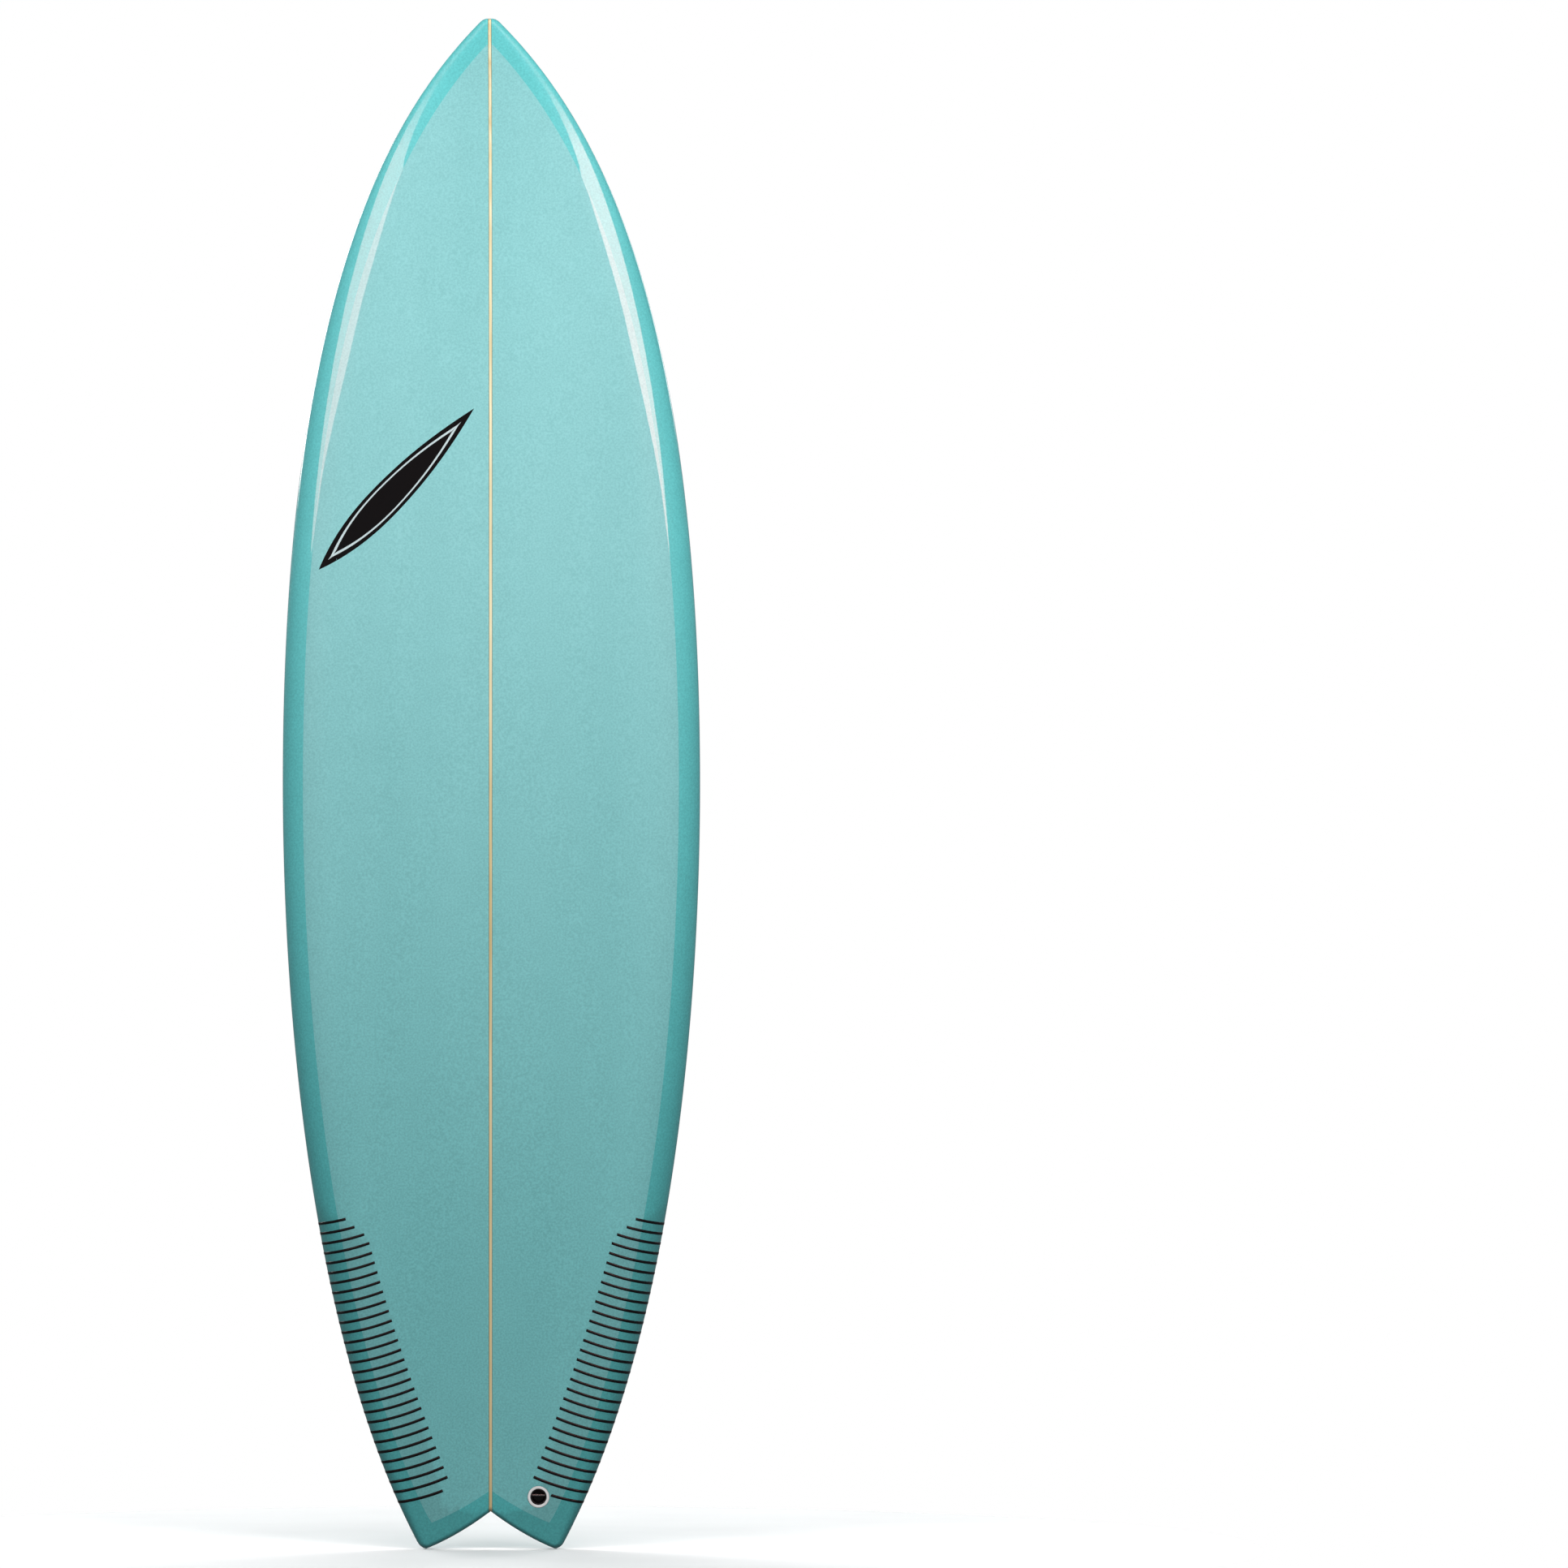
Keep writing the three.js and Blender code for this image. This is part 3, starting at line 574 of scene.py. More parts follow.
def lobe_points(along, grow):
    """A face's outline round one screw, from the band's edge and back to it."""
    half, radius = BAND_HALF + grow, LOBE_RADIUS + grow
    root_x, root_rise = BAND_HALF - 1, LOBE_ROOT + grow
    run = root_x - SCREW_ACROSS
    touch = math.atan2(root_rise, run) - math.acos(radius / math.hypot(run, root_rise))
    degrees = math.degrees(touch)
    ring = arc((SCREW_ACROSS, along), radius, -degrees, degrees, 16)
    last_x, last_rise = ring[-1][0], ring[-1][1] - along
    share = (last_x - half) / (last_x - root_x)
    rise = last_rise + share * (root_rise - last_rise)
    return [(half, along - rise)] + ring + [(half, along + rise)]


def window_outline(front, grow=0.0):
    """The exposed face of a fin plug: a band with a lobe for each screw."""
    side = BAND_HALF - BAND_CORNER
    end = BAND_LENGTH / 2 - BAND_CORNER

    def edge(along):
        low = arc((side, -end), BAND_CORNER + grow, -90, 0)
        return low + lobe_points(along, grow) + arc((side, end), BAND_CORNER + grow, 0, 90)

    right, left = (SCREW_FRONT, SCREW_REAR) if front > 0 else (SCREW_REAR, SCREW_FRONT)
    return edge(right) + [(-u, -v) for u, v in edge(-left)]


def flange_outline(grow=0.0):
    """A fin plug's flange: two round lobes joined through a narrower waist."""
    nose, tail = FLANGE_LOBE + grow, FLANGE_REAR_LOBE + grow
    at, neck, shoulder = FLANGE_LOBE_AT, FLANGE_WAIST + grow, 12
    inner = np.arange(1, 12) / 12
    rear = ((tail, -at), (tail, shoulder - at), (neck, -shoulder), (neck, 0))
    front = ((neck, 0), (neck, shoulder), (nose, at - shoulder), (nose, at))
    right = [*map(tuple, bezier(rear, inner)), (neck, 0), *map(tuple, bezier(front, inner))]
    left = [(-u, v) for u, v in right[::-1]]
    return arc((0, -at), tail, -180, 0, 40) + right + arc((0, at), nose, 0, 180, 40) + left


def in_view(place, outline):
    """An outline in a plug's frame as (x, z) points in mm."""
    spots = [place @ (Vector((u, v, 0)) * MM) for u, v in outline]
    return np.array([(spot.x, spot.z) for spot in spots]) / MM


def fin_frame(plug):
    return plug_frame(plug["x"], plug["z"], False, plug["toe"], plug["sink"])


def deck_openings():
    ring = arc((0, 0), LEASH["ring"] + 0.3, 0, 360, 72)[:-1]
    return [in_view(plug_frame(LEASH["x"], LEASH["z"], True), ring)]


def bottom_openings():
    return [in_view(fin_frame(plug), window_outline(plug["front"], 0.3)) for plug in FIN_PLUGS]


def stringer_opening():
    """The stations between which the centre fin plug takes the place of the stringer."""
    heights = bottom_openings()[-1][:, 1]
    return [float(unsheared(0.0, z)) for z in (heights.min(), heights.max())]


# ---- triangles over outlines


def inside(loop, spots):
    """Which of the points lie inside a closed loop of points."""
    x, z = np.asarray(spots, float).T
    hit = np.zeros(len(x), bool)
    for (x0, z0), (x1, z1) in zip(loop, np.roll(loop, -1, axis=0)):
        crosses = (z0 > z) != (z1 > z)
        if z0 != z1:
            hit ^= crosses & (x < x0 + (z - z0) * (x1 - x0) / (z1 - z0))
    return hit


def triangulate(loops, loose, keep):
    """Triangles over closed loops and loose points, where keep says so of their middles.

    Gives the corners, the triangles, and for each corner the input point it came from.
    """
    points, edges = [], []
    for loop in loops:
        first, count = len(points), len(loop)
        points += [Vector(point) for point in loop]
        edges += [(first + i, first + (i + 1) % count) for i in range(count)]
    points += [Vector(point) for point in loose]
    corners, _, triangles, sources, _, _ = delaunay_2d_cdt(points, edges, [], 0, 1e-7)
    spots = np.array([corner[:] for corner in corners])
    middles = np.array([spots[t].mean(axis=0) for t in triangles])
    kept = [list(t) for t, stays in zip(triangles, keep(middles)) if stays]
    return spots, kept, [source[0] if source else -1 for source in sources]


def rim_loops(faces):
    """The closed loops of corners round a set of faces."""
    directed = {(f[i], f[(i + 1) % len(f)]) for f in faces for i in range(len(f))}
    following = {a: b for a, b in directed if (b, a) not in directed}
    loops = []
    while following:
        corner, loop = next(iter(following)), []
        while corner in following:
            loop.append(corner)
            corner = following.pop(corner)
        loops.append(loop)
    return loops


# ---- the skins

STRINGER_HALF = 1.7  # half the width of the wood that shows
GLUE_HALF = 2.2  # half the width with a glue line on each side
PANEL_STEPS = 22
BAND_STEPS = 14
BOTTOM_BAND = 17.0  # width of the doubled glass along the bottom's rails
WIDE_ENOUGH = 8.0  # half width below which the stringer's columns close up towards the nose
BAND_STRENGTH = 0.8
BAND_FADES = ((330, 260), (1790, 160))  # where the band begins at the tail and nose, and its fades
COLUMNS = 2 + PANEL_STEPS + BAND_STEPS  # steps from the stringer to the rail's apex


def station_rows():
    """Stations of the rows: close at the rounded ends, and one on each end of the lap line."""
    quarter = END_RADIUS * (1 - np.cos(np.linspace(0, math.pi / 2, 8)))
    tail = np.concatenate([quarter, np.linspace(END_RADIUS, LAP_TAIL, 5)[1:]])
    nose_lap = lap_apex()
    body = np.linspace(LAP_TAIL, nose_lap, 190)[1:]
    nose = np.linspace(nose_lap, LENGTH - END_RADIUS, 16)[1:]
    rows = np.concatenate([tail, body, nose, LENGTH - quarter[::-1][1:]])
    return np.sort(np.concatenate([rows, stringer_opening()]))


def lap_apex():
    """The station at the nose where the lap lines of the two rails meet."""
    inner = HALF_WIDTH - LAP * SLANT
    return float(EVERY_MM[np.where(inner > GLUE_HALF + 0.6)[0][-1]])


def column_places(station, band):
    """Distances from the stringer of one half section's points, from the stringer outwards."""
    half = half_width(station)[:, None]
    squeeze = np.minimum(1, half / WIDE_ENOUGH)
    inner = np.array([[0, STRINGER_HALF, GLUE_HALF]]) * squeeze
    lap = read(HALF_WIDTH, station)[:, None] - band * read(SLANT, station)[:, None]
    edge = np.clip(lap, inner[:, 2:] + 0.6 * squeeze, half - 0.5 * squeeze)
    share = 1 - (1 - np.linspace(0, 1, PANEL_STEPS + 1)[None, 1:]) ** 1.5
    panel = inner[:, 2:] + (edge - inner[:, 2:]) * share
    out = (1 - np.linspace(0, 1, BAND_STEPS + 1)[None, 1:]) ** 2
    return np.concatenate([inner, panel, half - (half - edge) * out], axis=1)


def board_grid():
    """Points of the whole surface, [row, place round the section, xyz], and its normals.

    The places run from the deck's middle over starboard to the bottom's, and back over port.
    """
    stations = station_rows()
    rows = stations[:, None]
    on_deck = column_places(stations, LAP)
    on_bottom = column_places(stations, BOTTOM_BAND)
    deck, bottom = surface(on_deck, rows, True), surface(on_bottom, rows, False)
    starboard = np.concatenate([deck, bottom[:, -2::-1]], axis=1)
    port = starboard[:, -2:0:-1] * (-1, 1, 1)
    points = np.concatenate([starboard, port], axis=1)
    around = np.roll(points, -1, axis=1) - np.roll(points, 1, axis=1)
    along = np.gradient(points, axis=0)
    normals = np.cross(around, along)
    normals /= np.linalg.norm(normals, axis=2, keepdims=True)
    return stations, points, normals


def band_strength(station):
    """The bottom's doubled band fades out before the nose and before the tail."""
    (tail_end, tail_run), (nose_end, nose_run) = BAND_FADES
    rise = np.clip((station - tail_end) / tail_run, 0, 1)
    fall = np.clip((nose_end - station) / nose_run, 0, 1)
    return BAND_STRENGTH * rise * fall


class SkinBuilder:
    """Collects the faces of one skin and makes its mesh, with the whole board's normals."""

    def __init__(self, name, points, normals):
        self.name = name
        self.points = points.reshape(-1, 3)
        self.normals = normals.reshape(-1, 3)
        self.faces, self.layers, self.slots = [], [], []

    def add(self, corners, layers, slot=0):
        self.faces.append(corners)
        self.layers.append(layers)
        self.slots.append(slot)

    def new_corner(self, spot, deck):
        self.points = np.vstack([self.points, point_on(*spot, deck)])
        self.normals = np.vstack([self.normals, surface_normal(*spot, deck)])
        return len(self.points) - 1

    def faces_near(self, outline, deck):
        low, high = outline.min(axis=0) - 1, outline.max(axis=0) + 1
        near = []
        for index, face in enumerate(self.faces):
            spots = self.points[face][:, (0, 2)]
            faces_out = self.normals[face][:, 1].mean() * (-1 if deck else 1) > 0.5
            if faces_out and (spots.max(axis=0) > low).all() and (spots.min(axis=0) < high).all():
                near.append(index)
        return near

    def cut(self, outline, deck):
        """Leaves an opening free: the faces near it give way to triangles up to its outline."""
        near = self.faces_near(outline, deck)
        removed = [self.faces[index] for index in near]
        for index in reversed(near):
            del self.faces[index], self.layers[index], self.slots[index]
        for loop in rim_loops(removed):
            self.fill_between(loop, outline, deck)

    def fill_between(self, loop, outline, deck):
        rim = self.points[loop][:, (0, 2)]

        spots, triangles, sources = triangulate(
            [rim, outline], [], lambda middles: inside(rim, middles) & ~inside(outline, middles)
        )
        corners = {}
        for index in {corner for triangle in triangles for corner in triangle}:
            known = 0 <= sources[index] < len(loop)
            corners[index] = loop[sources[index]] if known else self.new_corner(spots[index], deck)
        for triangle in triangles:
            ordered = triangle if deck else triangle[::-1]
            self.add([corners[index] for index in ordered], [0] * 3)

    def build(self, materials):
        used = sorted({corner for face in self.faces for corner in face})
        points, normals = self.points[used], self.normals[used]
        index = {corner: i for i, corner in enumerate(used)}
        faces = [[index[corner] for corner in face] for face in self.faces]
        skin = object_from(self.name, points * MM, faces, materials=materials)
        skin.data.polygons.foreach_set("material_index", self.slots)
        layers = [value for face in self.layers for value in face]
        set_attribute(skin.data, "layers", layers, "CORNER")
        set_attribute(skin.data, "patch", patch_strength(points, normals))
        skin.data.normals_split_custom_set_from_vertices(normals)
        return skin


def build_skins(glass_deck, glass_bottom, wood, glue):
    """The deck panel, the wrap with the bottom, and the strip of stringer that shows."""
    stations, points, normals = board_grid()
    count = points.shape[1]
    deck = SkinBuilder("deck_skin", points, normals)
    wrap = SkinBuilder("bottom_skin", points, normals)
    strip = SkinBuilder("stringer_strip", points, normals)
    lap_rows = (LAP_TAIL, lap_apex())
    opening = stringer_opening()
    for row in range(len(stations) - 1):
        ends = stations[row:row + 2]
        in_panel = lap_rows[0] < ends.mean() < lap_rows[1]
        in_opening = opening[0] < ends.mean() < opening[1]
        for place in range(count):
            nxt = (place + 1) % count
            corners = [row * count + place, row * count + nxt]
            corners += [(row + 1) * count + nxt, (row + 1) * count + place]
            column = column_of(place)
            on_deck = place < COLUMNS or place >= 3 * COLUMNS
            if column < 2:
                if on_deck or not in_opening:
                    strip.add(corners, [0] * 4, slot=column)
            elif on_deck and column < 2 + PANEL_STEPS and in_panel:
                deck.add(corners, [0] * 4)
            elif on_deck:
                wrap.add(corners, [1] * 4)
            elif column < 2 + PANEL_STEPS:
                wrap.add(corners, [0] * 4)
            else:
                wrap.add(corners, band_layers(column, *band_strength(ends), place < 2 * COLUMNS))
    add_end_caps(len(stations) - 1, count, strip, wrap)
    for outline in deck_openings():
        deck.cut(outline, True)
    for outline in bottom_openings():
        wrap.cut(outline, False)
    return deck.build([glass_deck]), wrap.build([glass_bottom]), strip.build([wood, glue])


def column_of(place):
    """The step between the stringer and the rail that a place round the section belongs to."""
    within = place % (2 * COLUMNS)
    return min(within, 2 * COLUMNS - 1 - within)


def band_layers(column, low, high, starboard):
    """Layers at a face's four corners in the bottom's band: full at the rail's apex."""
    shares = [(c - 2 - PANEL_STEPS) / BAND_STEPS for c in (column, column + 1)]
    inner, outer = [max(0.0, min(1.0, 3 * share - 1.6)) for share in shares]
    first, last = (outer, inner) if starboard else (inner, outer)
    corners = ((low, first), (low, last), (high, last), (high, first))
    return [strength + (1 - strength) * share for strength, share in corners]


def add_end_caps(last_row, count, strip, wrap):
    """Closes the flat ends between the deck's and the bottom's rounded edges."""
    for row, tail in ((0, True), (last_row, False)):
        for column in range(COLUMNS):
            skin, slot = (strip, column) if column < 2 else (wrap, 0)
            below = 2 * COLUMNS - column
            for starboard in (True, False):
                ring = (column, below, below - 1, column + 1)
                corners = [row * count + (p if starboard else -p % count) for p in ring]
                if tail != starboard:
                    corners.reverse()
                if len(set(corners)) == 4:
                    skin.add(corners, [1] * 4, slot)


# ---- small mesh tools


def apply_modifiers(piece):
    bpy.context.view_layer.update()
    graph = bpy.context.evaluated_depsgraph_get()
    old = piece.data
    mesh = bpy.data.meshes.new_from_object(piece.evaluated_get(graph), depsgraph=graph)
    piece.modifiers.clear()
    piece.data = mesh
    mesh.name = piece.name
    bpy.data.meshes.remove(old)


def cut_away(piece, cutter):
    """Takes the cutter's shape out of the piece, and removes the cutter."""
    boolean = piece.modifiers.new("boolean", "BOOLEAN")
    boolean.operation = "DIFFERENCE"
    boolean.solver = "EXACT"
    boolean.object = cutter
    apply_modifiers(piece)
    bpy.data.objects.remove(cutter)


def tube_faces(rows, sides, first=0):
    """Faces of a closed tube whose corners run ring by ring, with its two ends."""
    faces = []
    for row in range(rows - 1):
        low, high = first + row * sides, first + (row + 1) * sides
        for i in range(sides):
            k = (i + 1) % sides
            faces.append([low + i, low + k, high + k, high + i])
    last = first + (rows - 1) * sides
    return faces + [[first + i for i in range(sides)][::-1], [last + i for i in range(sides)]]


def rod(start, end, radius, place, sides, name="rod"):
    """A round bar between two points in mm, in a plug's frame."""
    start, end = Vector(start), Vector(end)
    turn = (end - start).to_track_quat("Z", "Y").to_matrix()
    ring = [2 * math.pi * i / sides for i in range(sides)]
    spokes = [turn @ Vector((radius * math.cos(a), radius * math.sin(a), 0)) for a in ring]
    vertices = [place @ ((middle + spoke) * MM) for middle in (start, end) for spoke in spokes]
    return object_from(name, vertices, tube_faces(2, sides), smooth=False)


def lathe(name, profile, place):
    """A closed turned solid from (radius, height) points in mm round a plug's outward axis."""
    faces, segments, count = [], 72, len(profile)
    turns = [place @ Matrix.Rotation(2 * math.pi * i / segments, 4, "Z") for i in range(segments)]
    vertices = [turn @ (Vector((r, 0, h)) * MM) for turn in turns for r, h in profile]
    for i in range(segments):
        for k in range(count):
            a, b = i * count + k, i * count + (k + 1) % count
            step = (i + 1) % segments * count
            faces.append([a, step + k, step + (k + 1) % count, b])
    made = object_from(name, vertices, faces)
    clean(made)
    return made


def clean(piece):
    """Merges points that coincide and turns all faces outwards."""
    work = bmesh.new()
    work.from_mesh(piece.data)
    bmesh.ops.remove_doubles(work, verts=work.verts, dist=1e-7)
    bmesh.ops.recalc_face_normals(work, faces=work.faces)
    work.to_mesh(piece.data)
    work.free()


def soften(piece, width):
    """Small rounded edges, and flat faces that stay flat."""
    bevel = piece.modifiers.new("bevel", "BEVEL")
    bevel.width = width * MM
    bevel.segments = 2
    bevel.limit_method = "ANGLE"
    bevel.angle_limit = math.radians(30)
    bevel.harden_normals = True
    apply_modifiers(piece)


def finish_piece(piece, node=None, body=ROOT, material=None):
    """Hangs the piece on the body it rides on, and hides the CAD node it stands for, if it has one.
    """
    if material:
        piece.data.materials.clear()
        piece.data.materials.append(material)
    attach(piece, body)
    if node:
        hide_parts(node)


# ---- tail strands

STRANDS = 29
STRAND_PITCH = 12.2
STRAND_TOP = 398.8  # station of the first strand at the rail
STRAND_WIDTH = 3.2
STRAND_FOOT, STRAND_EDGE, STRAND_RIDGE = -0.25, 0.2, 0.34  # heights over the skin across a strand
FIRST_INNER = (178.5, 167.5, 155.5)  # how far from the stringer the first strands end
LAST_INNER = 58.8
LAST_BY_LEASH = LEASH["x"] + 15.5  # the last one beside the leash plug stops short of it


def patch_strength(points, normals):
    """How strongly the strand cloth's faint grey shows at points of the board: 0 or up to 1."""
    x, _, z = points.T
    rise = np.interp(z, [40, 52, 70, 378, 400, 415], [-10, 58, 58, 150, 178, 200])
    inward = np.clip((np.abs(x) - rise) / 6, 0, 1)
    return inward * np.clip((420 - z) / 8, 0, 1) * (normals[:, 1] < 0.3)


def strand_inner(index):
    """How far from the stringer a strand ends on the deck, counted from the nose end."""
    if index < len(FIRST_INNER):
        return FIRST_INNER[index]
    if index < STRANDS - 1:
        row = index - len(FIRST_INNER)
        return 149 - 3.16 * row - 0.035 * row**2
    return LAST_INNER


def strand_rise(inward):
    """Strands bend towards the nose as they run in from the rail."""
    return 0.13 * inward + 0.0017 * inward**2


def rail_point(inward, z, side, deck):
    """The point at a distance inwards from the rail's apex."""
    return point_on(side * (half_width(z) - inward), z, deck)


def strand_path(index, side):
    """Points of a strand's middle: inwards from the rail's apex on the deck, and round below."""
    outer = STRAND_TOP - STRAND_PITCH * index
    inner = strand_inner(index) if side < 0 or index < STRANDS - 1 else LAST_BY_LEASH
    reach = half_width(outer) - inner
    for _ in range(6):
        reach = half_width(outer + strand_rise(reach)) - inner
    inward = reach * (1 - np.linspace(0, 1, 44)) ** 2
    path = [(d, outer + strand_rise(d), True) for d in inward]
    thickness = read(DECK_LINE, outer) - read(BOTTOM_LINE, outer)
    lowest = TAIL_HEIGHT - read(BOTTOM_LINE, outer) - max(6.0, 0.2 * thickness)
    for d in 8 * np.linspace(0, 1, 60)[1:] ** 2:
        if rail_point(d, outer, side, False)[1] > lowest:
            break
        path.append((d, outer, False))
    return path


def build_strands(side, name):
    """All the strands of one side as one mesh, each a low ridge that lies on the skin."""
    vertices, faces = [], []
    half = STRAND_WIDTH / 2
    for index in range(STRANDS):
        path = strand_path(index, side)
        middles, ups, downs = (
            np.array([rail_point(d, z + lift, side, deck) for d, z, deck in path])
            for lift in (0, half, -half)
        )
        along = np.gradient(middles, axis=0)
        out = np.cross(along, ups - downs)
        out /= np.linalg.norm(out, axis=1, keepdims=True)
        out *= np.sign(out[0, 1]) * -1
        faces += tube_faces(len(path), 5, len(vertices))
        for up, down, normal in zip(ups, downs, out):
            ring = ((up, STRAND_FOOT), (up, STRAND_EDGE), ((up + down) / 2, STRAND_RIDGE))
            ring += ((down, STRAND_EDGE), (down, STRAND_FOOT))
            vertices += [(point + normal * lift) * MM for point, lift in ring]
    strands = object_from(name, vertices, faces)
    clean(strands)
    return strands


# ---- plates on the surface

PLATE_GRID = 6.0  # spacing of the points that let a plate follow the board's curve


def plate(name, outline, holes, deck, top, bottom, materials=(), lines=()):
    """A closed thin plate that follows the board. Its outlines are (x, z) points in mm.

    The area inside the first of the lines and outside the second takes the second material.
    """
    corners = zip(outline.min(axis=0), outline.max(axis=0))
    ranges = [np.arange(low, high, PLATE_GRID) for low, high in corners]
    grid = np.stack(np.meshgrid(*ranges), -1).reshape(-1, 2)

    def covered(spots):
        within = inside(outline, spots)
        for hole in holes:
            within &= ~inside(hole, spots)
        return within

    spots, triangles, _ = triangulate([outline, *holes, *lines], grid[covered(grid)], covered)
    used = sorted({corner for triangle in triangles for corner in triangle})
    index = {corner: i for i, corner in enumerate(used)}
    spots = spots[used]
    surface_points = point_on(spots[:, 0], spots[:, 1], deck)
    out = surface_normal(spots[:, 0], spots[:, 1], deck)
    count = len(used)
    vertices = np.vstack([surface_points + out * top, surface_points + out * bottom]) * MM
    upper = [[index[corner] for corner in triangle] for triangle in triangles]
    if not deck:
        upper = [triangle[::-1] for triangle in upper]
    lower = [[corner + count for corner in triangle[::-1]] for triangle in upper]
    walls = []
    for loop in rim_loops(upper):
        for a, b in zip(loop, loop[1:] + loop[:1]):
            walls.append([b, a, a + count, b + count])
    made = object_from(name, vertices, upper + lower + walls, materials=materials)
    set_plate_normals(made.data, out, len(upper))
    if lines:
        middles = spots[np.array(upper)].mean(axis=1)
        marked = inside(lines[0], middles) & ~inside(lines[1], middles)
        slots = [int(value) for value in marked] + [0] * (len(lower) + len(walls))
        made.data.polygons.foreach_set("material_index", slots)
    return made


def set_plate_normals(mesh, out, upper_faces):
    """The board's own normals on a plate's upper side, so that it shines as the board does."""
    normals = []
    for face in mesh.polygons:
        upper = face.index < upper_faces
        normals += [tuple(out[corner] if upper else face.normal) for corner in face.vertices]
    mesh.normals_split_custom_set(normals)


# ---- fin plugs

ROLLER = {"radius": 1.7, "length": 8.8, "along": 46.3, "depth": 4.0}
BUMPER = {"start": 48.3, "end": 51.3, "width": 8.4, "height": 3.4}
SCREW = {"radius": 1.9, "head": 2.0, "tip": 9.5, "socket": 1.0, "socket_depth": 2.8}


def build_flange_cover(plug, material):
    """The plug's flange where it shows through the glass round its exposed face."""
    place = fin_frame(plug)
    outline = in_view(place, flange_outline(0.5))
    hole = in_view(place, window_outline(plug["front"], 0.15))
    cover = plate(f"fin_plug_flange_{plug['side']}", outline, [hole], False, 0.05, -0.9)
    spots = np.array([(v.co.x, v.co.z) for v in cover.data.vertices]) / MM
    rim = ~inside(in_view(place, flange_outline(-1.2)), spots)
    set_attribute(cover.data, "edge", rim.astype(float))
    finish_piece(cover, material=material)


def screw_point(side, along, distance):
    """The point of a screw's bore at a distance down from its mouth."""
    across = SCREW_ACROSS - distance * math.sin(SCREW_TILT)
    return side * across, along, -distance * math.cos(SCREW_TILT)


def build_screw(plug, name, side, along, material):
    place = fin_frame(plug)
    head = screw_point(side, along, SCREW["head"])
    tip = screw_point(side, along, SCREW["tip"])
    node = f"grub_screw_{plug['side']}_{name}"
    screw = rod(head, tip, SCREW["radius"], place, 48, f"{node}_fine")
    start = screw_point(side, along, SCREW["head"] - 1)
    floor = screw_point(side, along, SCREW["head"] + SCREW["socket_depth"])
    corner = SCREW["socket"] / math.cos(math.pi / 6)
    cut_away(screw, rod(start, floor, corner, place, 6))
    soften(screw, 0.18)
    finish_piece(screw, node, node, material)


def build_roller(plug, material):
    place = fin_frame(plug)
    half, along, depth = ROLLER["length"] / 2, ROLLER["along"], ROLLER["depth"]
    ends, side = ((-half, along, -depth), (half, along, -depth)), plug["side"]
    roller = rod(*ends, ROLLER["radius"], place, 48, f"fin_plug_roller_{side}_fine")
    soften(roller, 0.3)
    finish_piece(roller, f"fin_plug_roller_{side}", f"roller_{side}", material)


def build_bumper(plug, material):
    """The elastomer block that the roller presses against the nose end of its pocket."""
    place, side = fin_frame(plug), plug["side"]
    u, w, depth = BUMPER["width"] / 2, BUMPER["height"] / 2, ROLLER["depth"]
    vertices = []
    for along in (BUMPER["start"], BUMPER["end"]):
        ring = [(-u, along, -w - depth), (u, along, -w - depth), (u, along, w - depth)]
        vertices += [place @ (Vector(p) * MM) for p in (*ring, (-u, along, w - depth))]
    bumper = object_from(f"fin_plug_bumper_{side}_fine", vertices, tube_faces(2, 4))
    clean(bumper)
    soften(bumper, 0.35)
    finish_piece(bumper, f"fin_plug_bumper_{side}", material=material)
    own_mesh(bumper)


def build_fin_plugs(flange, steel, rubber):
    for plug in FIN_PLUGS:
        build_flange_cover(plug, flange)
        build_roller(plug, steel)
        build_bumper(plug, rubber)
        build_screw(plug, "front", plug["front"], SCREW_FRONT, steel)
        build_screw(plug, "rear", -plug["front"], SCREW_REAR, steel)


# ---- decals


def leaf(x, z, length, width, tilt, shrink=0.0):
    """A pointed oval round a place on the board, as (x, z) points, tilted from the X axis."""
    steps = np.linspace(-1, 1, 41)
    half = width / 2 * (1 - np.abs(steps) ** 2.2) * (1 - 0.25 * steps)
    half = np.maximum(half - shrink, 0)
    along = steps * (length / 2 - 2.6 * shrink)
    lower = np.stack([along, -half], axis=1)[::-1][1:-1]
    outline = np.vstack([np.stack([along, half], axis=1), lower])
    cos, sin = math.cos(math.radians(tilt)), math.sin(math.radians(tilt))
    return outline @ np.array([(cos, sin), (-sin, cos)]) + (x, z)


def build_decal(name, deck, materials, shape, line):
    """A plain leaf mark with a thin pale line inside its edge."""
    lines = [leaf(*shape, shrink=line), leaf(*shape, shrink=line * 1.45)]
    finish_piece(plate(name, leaf(*shape), [], deck, 0.06, -0.3, materials, lines))


# ---- leash plug


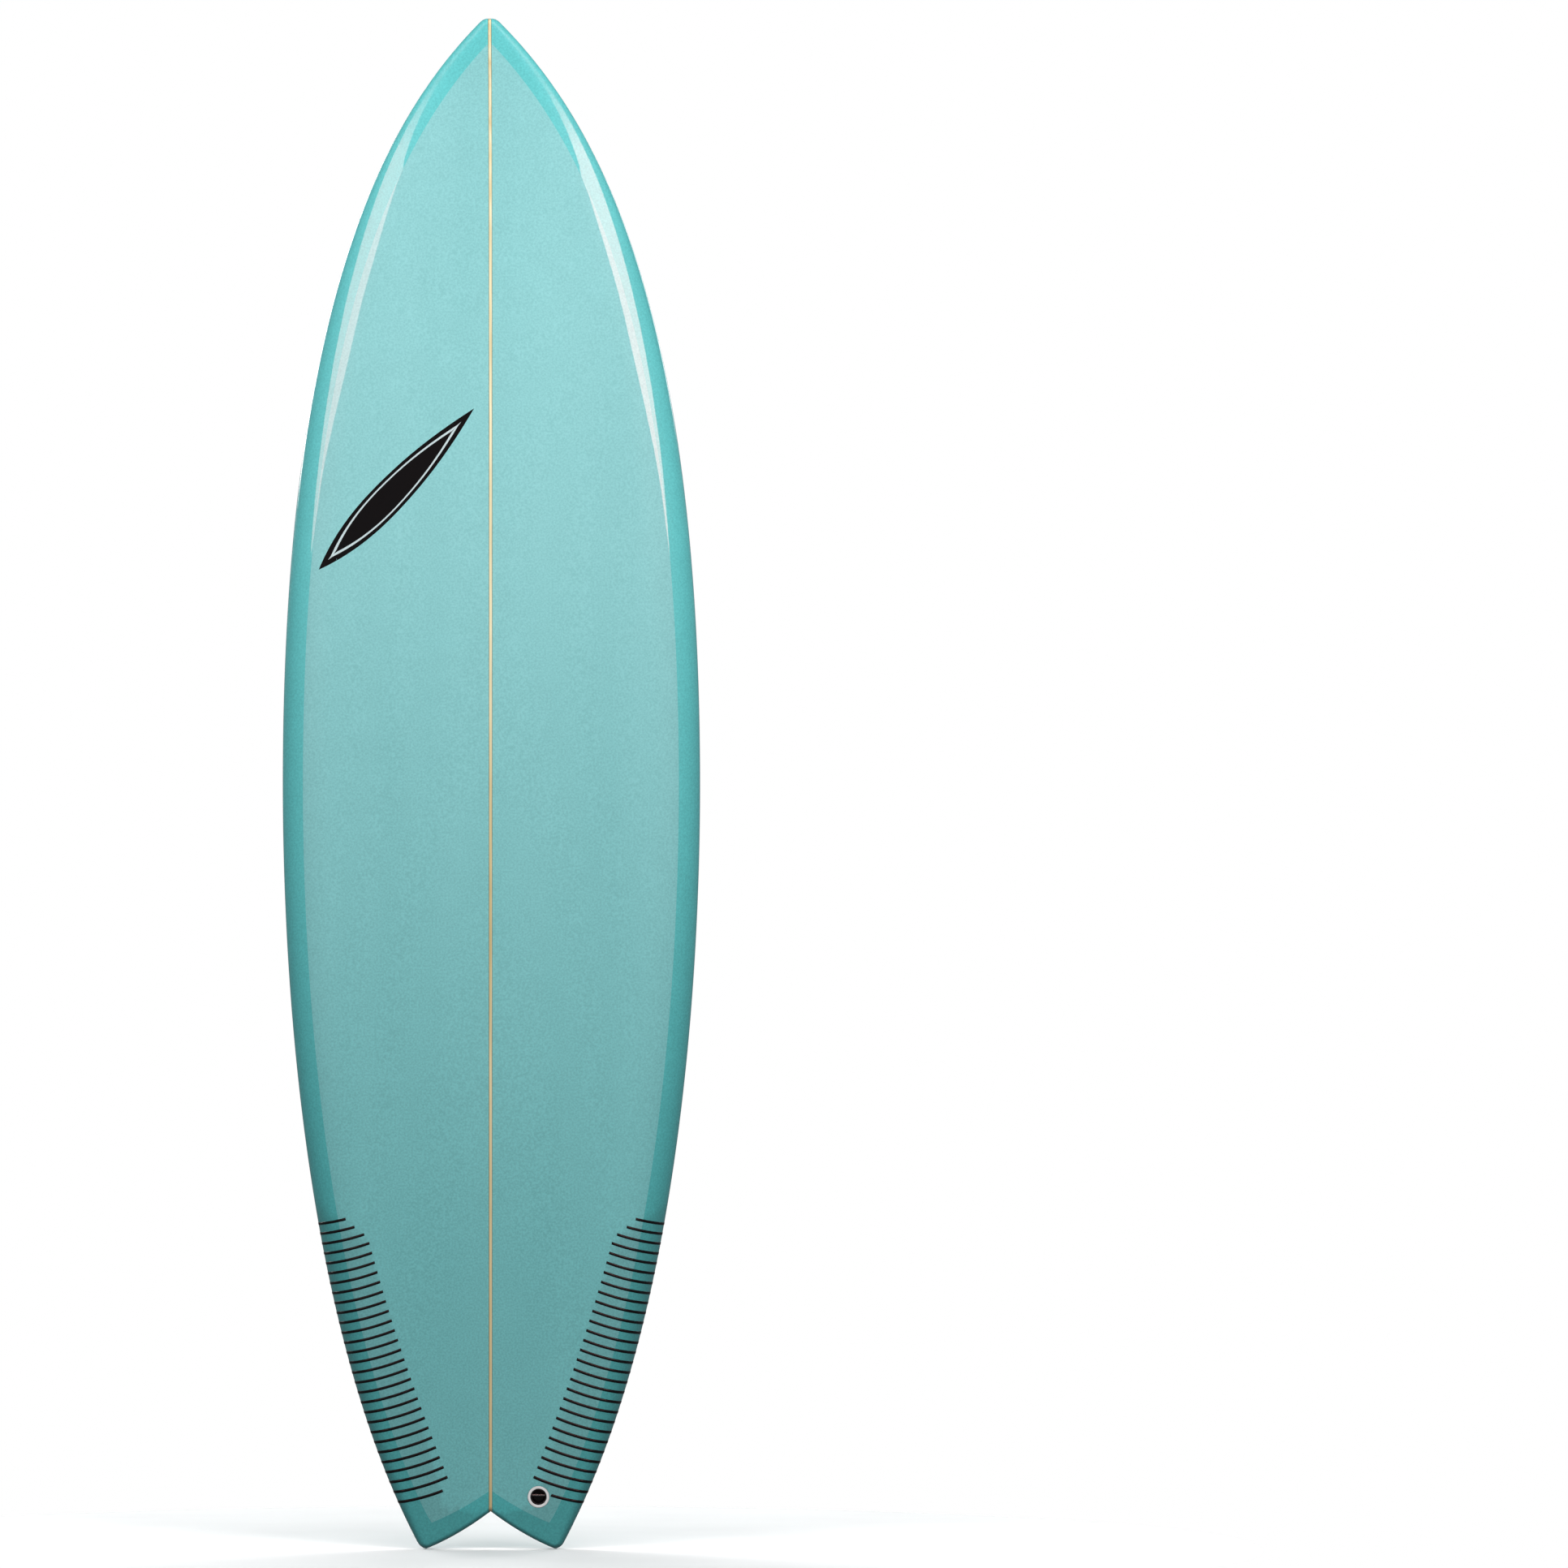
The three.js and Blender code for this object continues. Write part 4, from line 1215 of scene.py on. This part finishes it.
def build_leash_plug(white, black, steel):
    """The ring with its shell, the cup inside it and the pin across the cup."""
    place = plug_frame(LEASH["x"], LEASH["z"], True)
    shell, depth, floor, hole = LEASH["shell"], LEASH["depth"], LEASH["floor"], LEASH["hole"]
    bore, edge, rim = hole + 0.3, 0.5, LEASH["rim"]
    ring = [(shell, -depth), (shell, -rim), (LEASH["ring"], -rim)]
    ring += arc((LEASH["ring"] - edge, -edge + 0.12), edge, 0, 90)
    ring += arc((bore + edge, -edge + 0.12), edge, 90, 180)
    ring += [(bore, -floor), (0, -floor), (0, -depth)]
    cup_floor, lip, lip_at, bend = floor - 0.6, 0.35, -0.95, 3.5
    cup = [(hole, -cup_floor)]
    cup += arc((hole - lip, lip_at), lip, 0, 90)
    cup += arc((LEASH["cup"] + lip, lip_at), lip, 90, 180)
    cup += arc((LEASH["cup"] - bend, bend - 14.0), bend, 0, -90)
    cup += [(0, -14.0), (0, -cup_floor)]
    body, well = lathe("leash_ring", ring, place), lathe("leash_cup", cup, place)
    pin = rod((-9.2, 2, -5), (9.2, 2, -5), 1.3, place, 40, "leash_pin")
    soften(pin, 0.25)
    for piece in (body, well):
        piece.data.set_sharp_from_angle(angle=math.radians(50))
    finish_piece(body, "leash_plug_body", material=white)
    finish_piece(well, "leash_plug_cup", material=black)
    finish_piece(pin, "leash_plug_pin", material=steel)


# ---- build

add_camera()
add_lights()
add_world()
add_floor()

GLASS_DECK = glass_material("deck_glass", DECK_SINGLE)
GLASS_BOTTOM = glass_material("bottom_glass", BOTTOM_SINGLE)
WOOD = wood_material()
GLUE = glue_material()
CARBON = carbon_material()
WHITE = plastic_material("white_plastic", srgb(232, 231, 230), srgb(246, 245, 244))
BLACK = plastic_material("black_plastic", srgb(14, 14, 15), srgb(30, 30, 32), 0.32)
STEEL = steel_material()
FLANGE = flange_material()
FOAM = foam_material()
RUBBER = plastic_material("bumper_rubber", srgb(34, 34, 36), srgb(52, 52, 54), 0.7, 0.2)
DECAL_BLACK = decal_material("decal_black", srgb(3, 3, 4), srgb(10, 10, 11))
DECAL_PALE = decal_material("decal_pale", srgb(188, 206, 208), srgb(206, 220, 222))

deck_skin, bottom_skin, stringer_strip = build_skins(GLASS_DECK, GLASS_BOTTOM, WOOD, GLUE)
finish_piece(deck_skin, "deck_laminate")
finish_piece(bottom_skin, "bottom_laminate")
finish_piece(stringer_strip, "stringer")

for side, name in ((-1, "port"), (1, "starboard")):
    strands = build_strands(side, f"tail_strands_{name}")
    finish_piece(strands, f"tail_patch_{name}", material=CARBON)

build_fin_plugs(FLANGE, STEEL, RUBBER)
build_leash_plug(WHITE, BLACK, STEEL)
marks = (DECAL_BLACK, DECAL_PALE)
build_decal("deck_mark", True, marks, (-116, 1304, 276, 40, 46), 4.0)
build_decal("bottom_mark", False, marks, (118, 1340, 276, 40, 134), 4.0)
build_decal("tail_mark", False, marks, (-111, 95, 92, 17, 118), 2.2)

for name, material in (
    ("foam_core_port", FOAM),
    ("foam_core_starboard", FOAM),
    *[(f"fin_plug_body_{plug['side']}", WHITE) for plug in FIN_PLUGS],
):
    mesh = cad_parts[name].data
    mesh.materials.clear()
    mesh.materials.append(material)
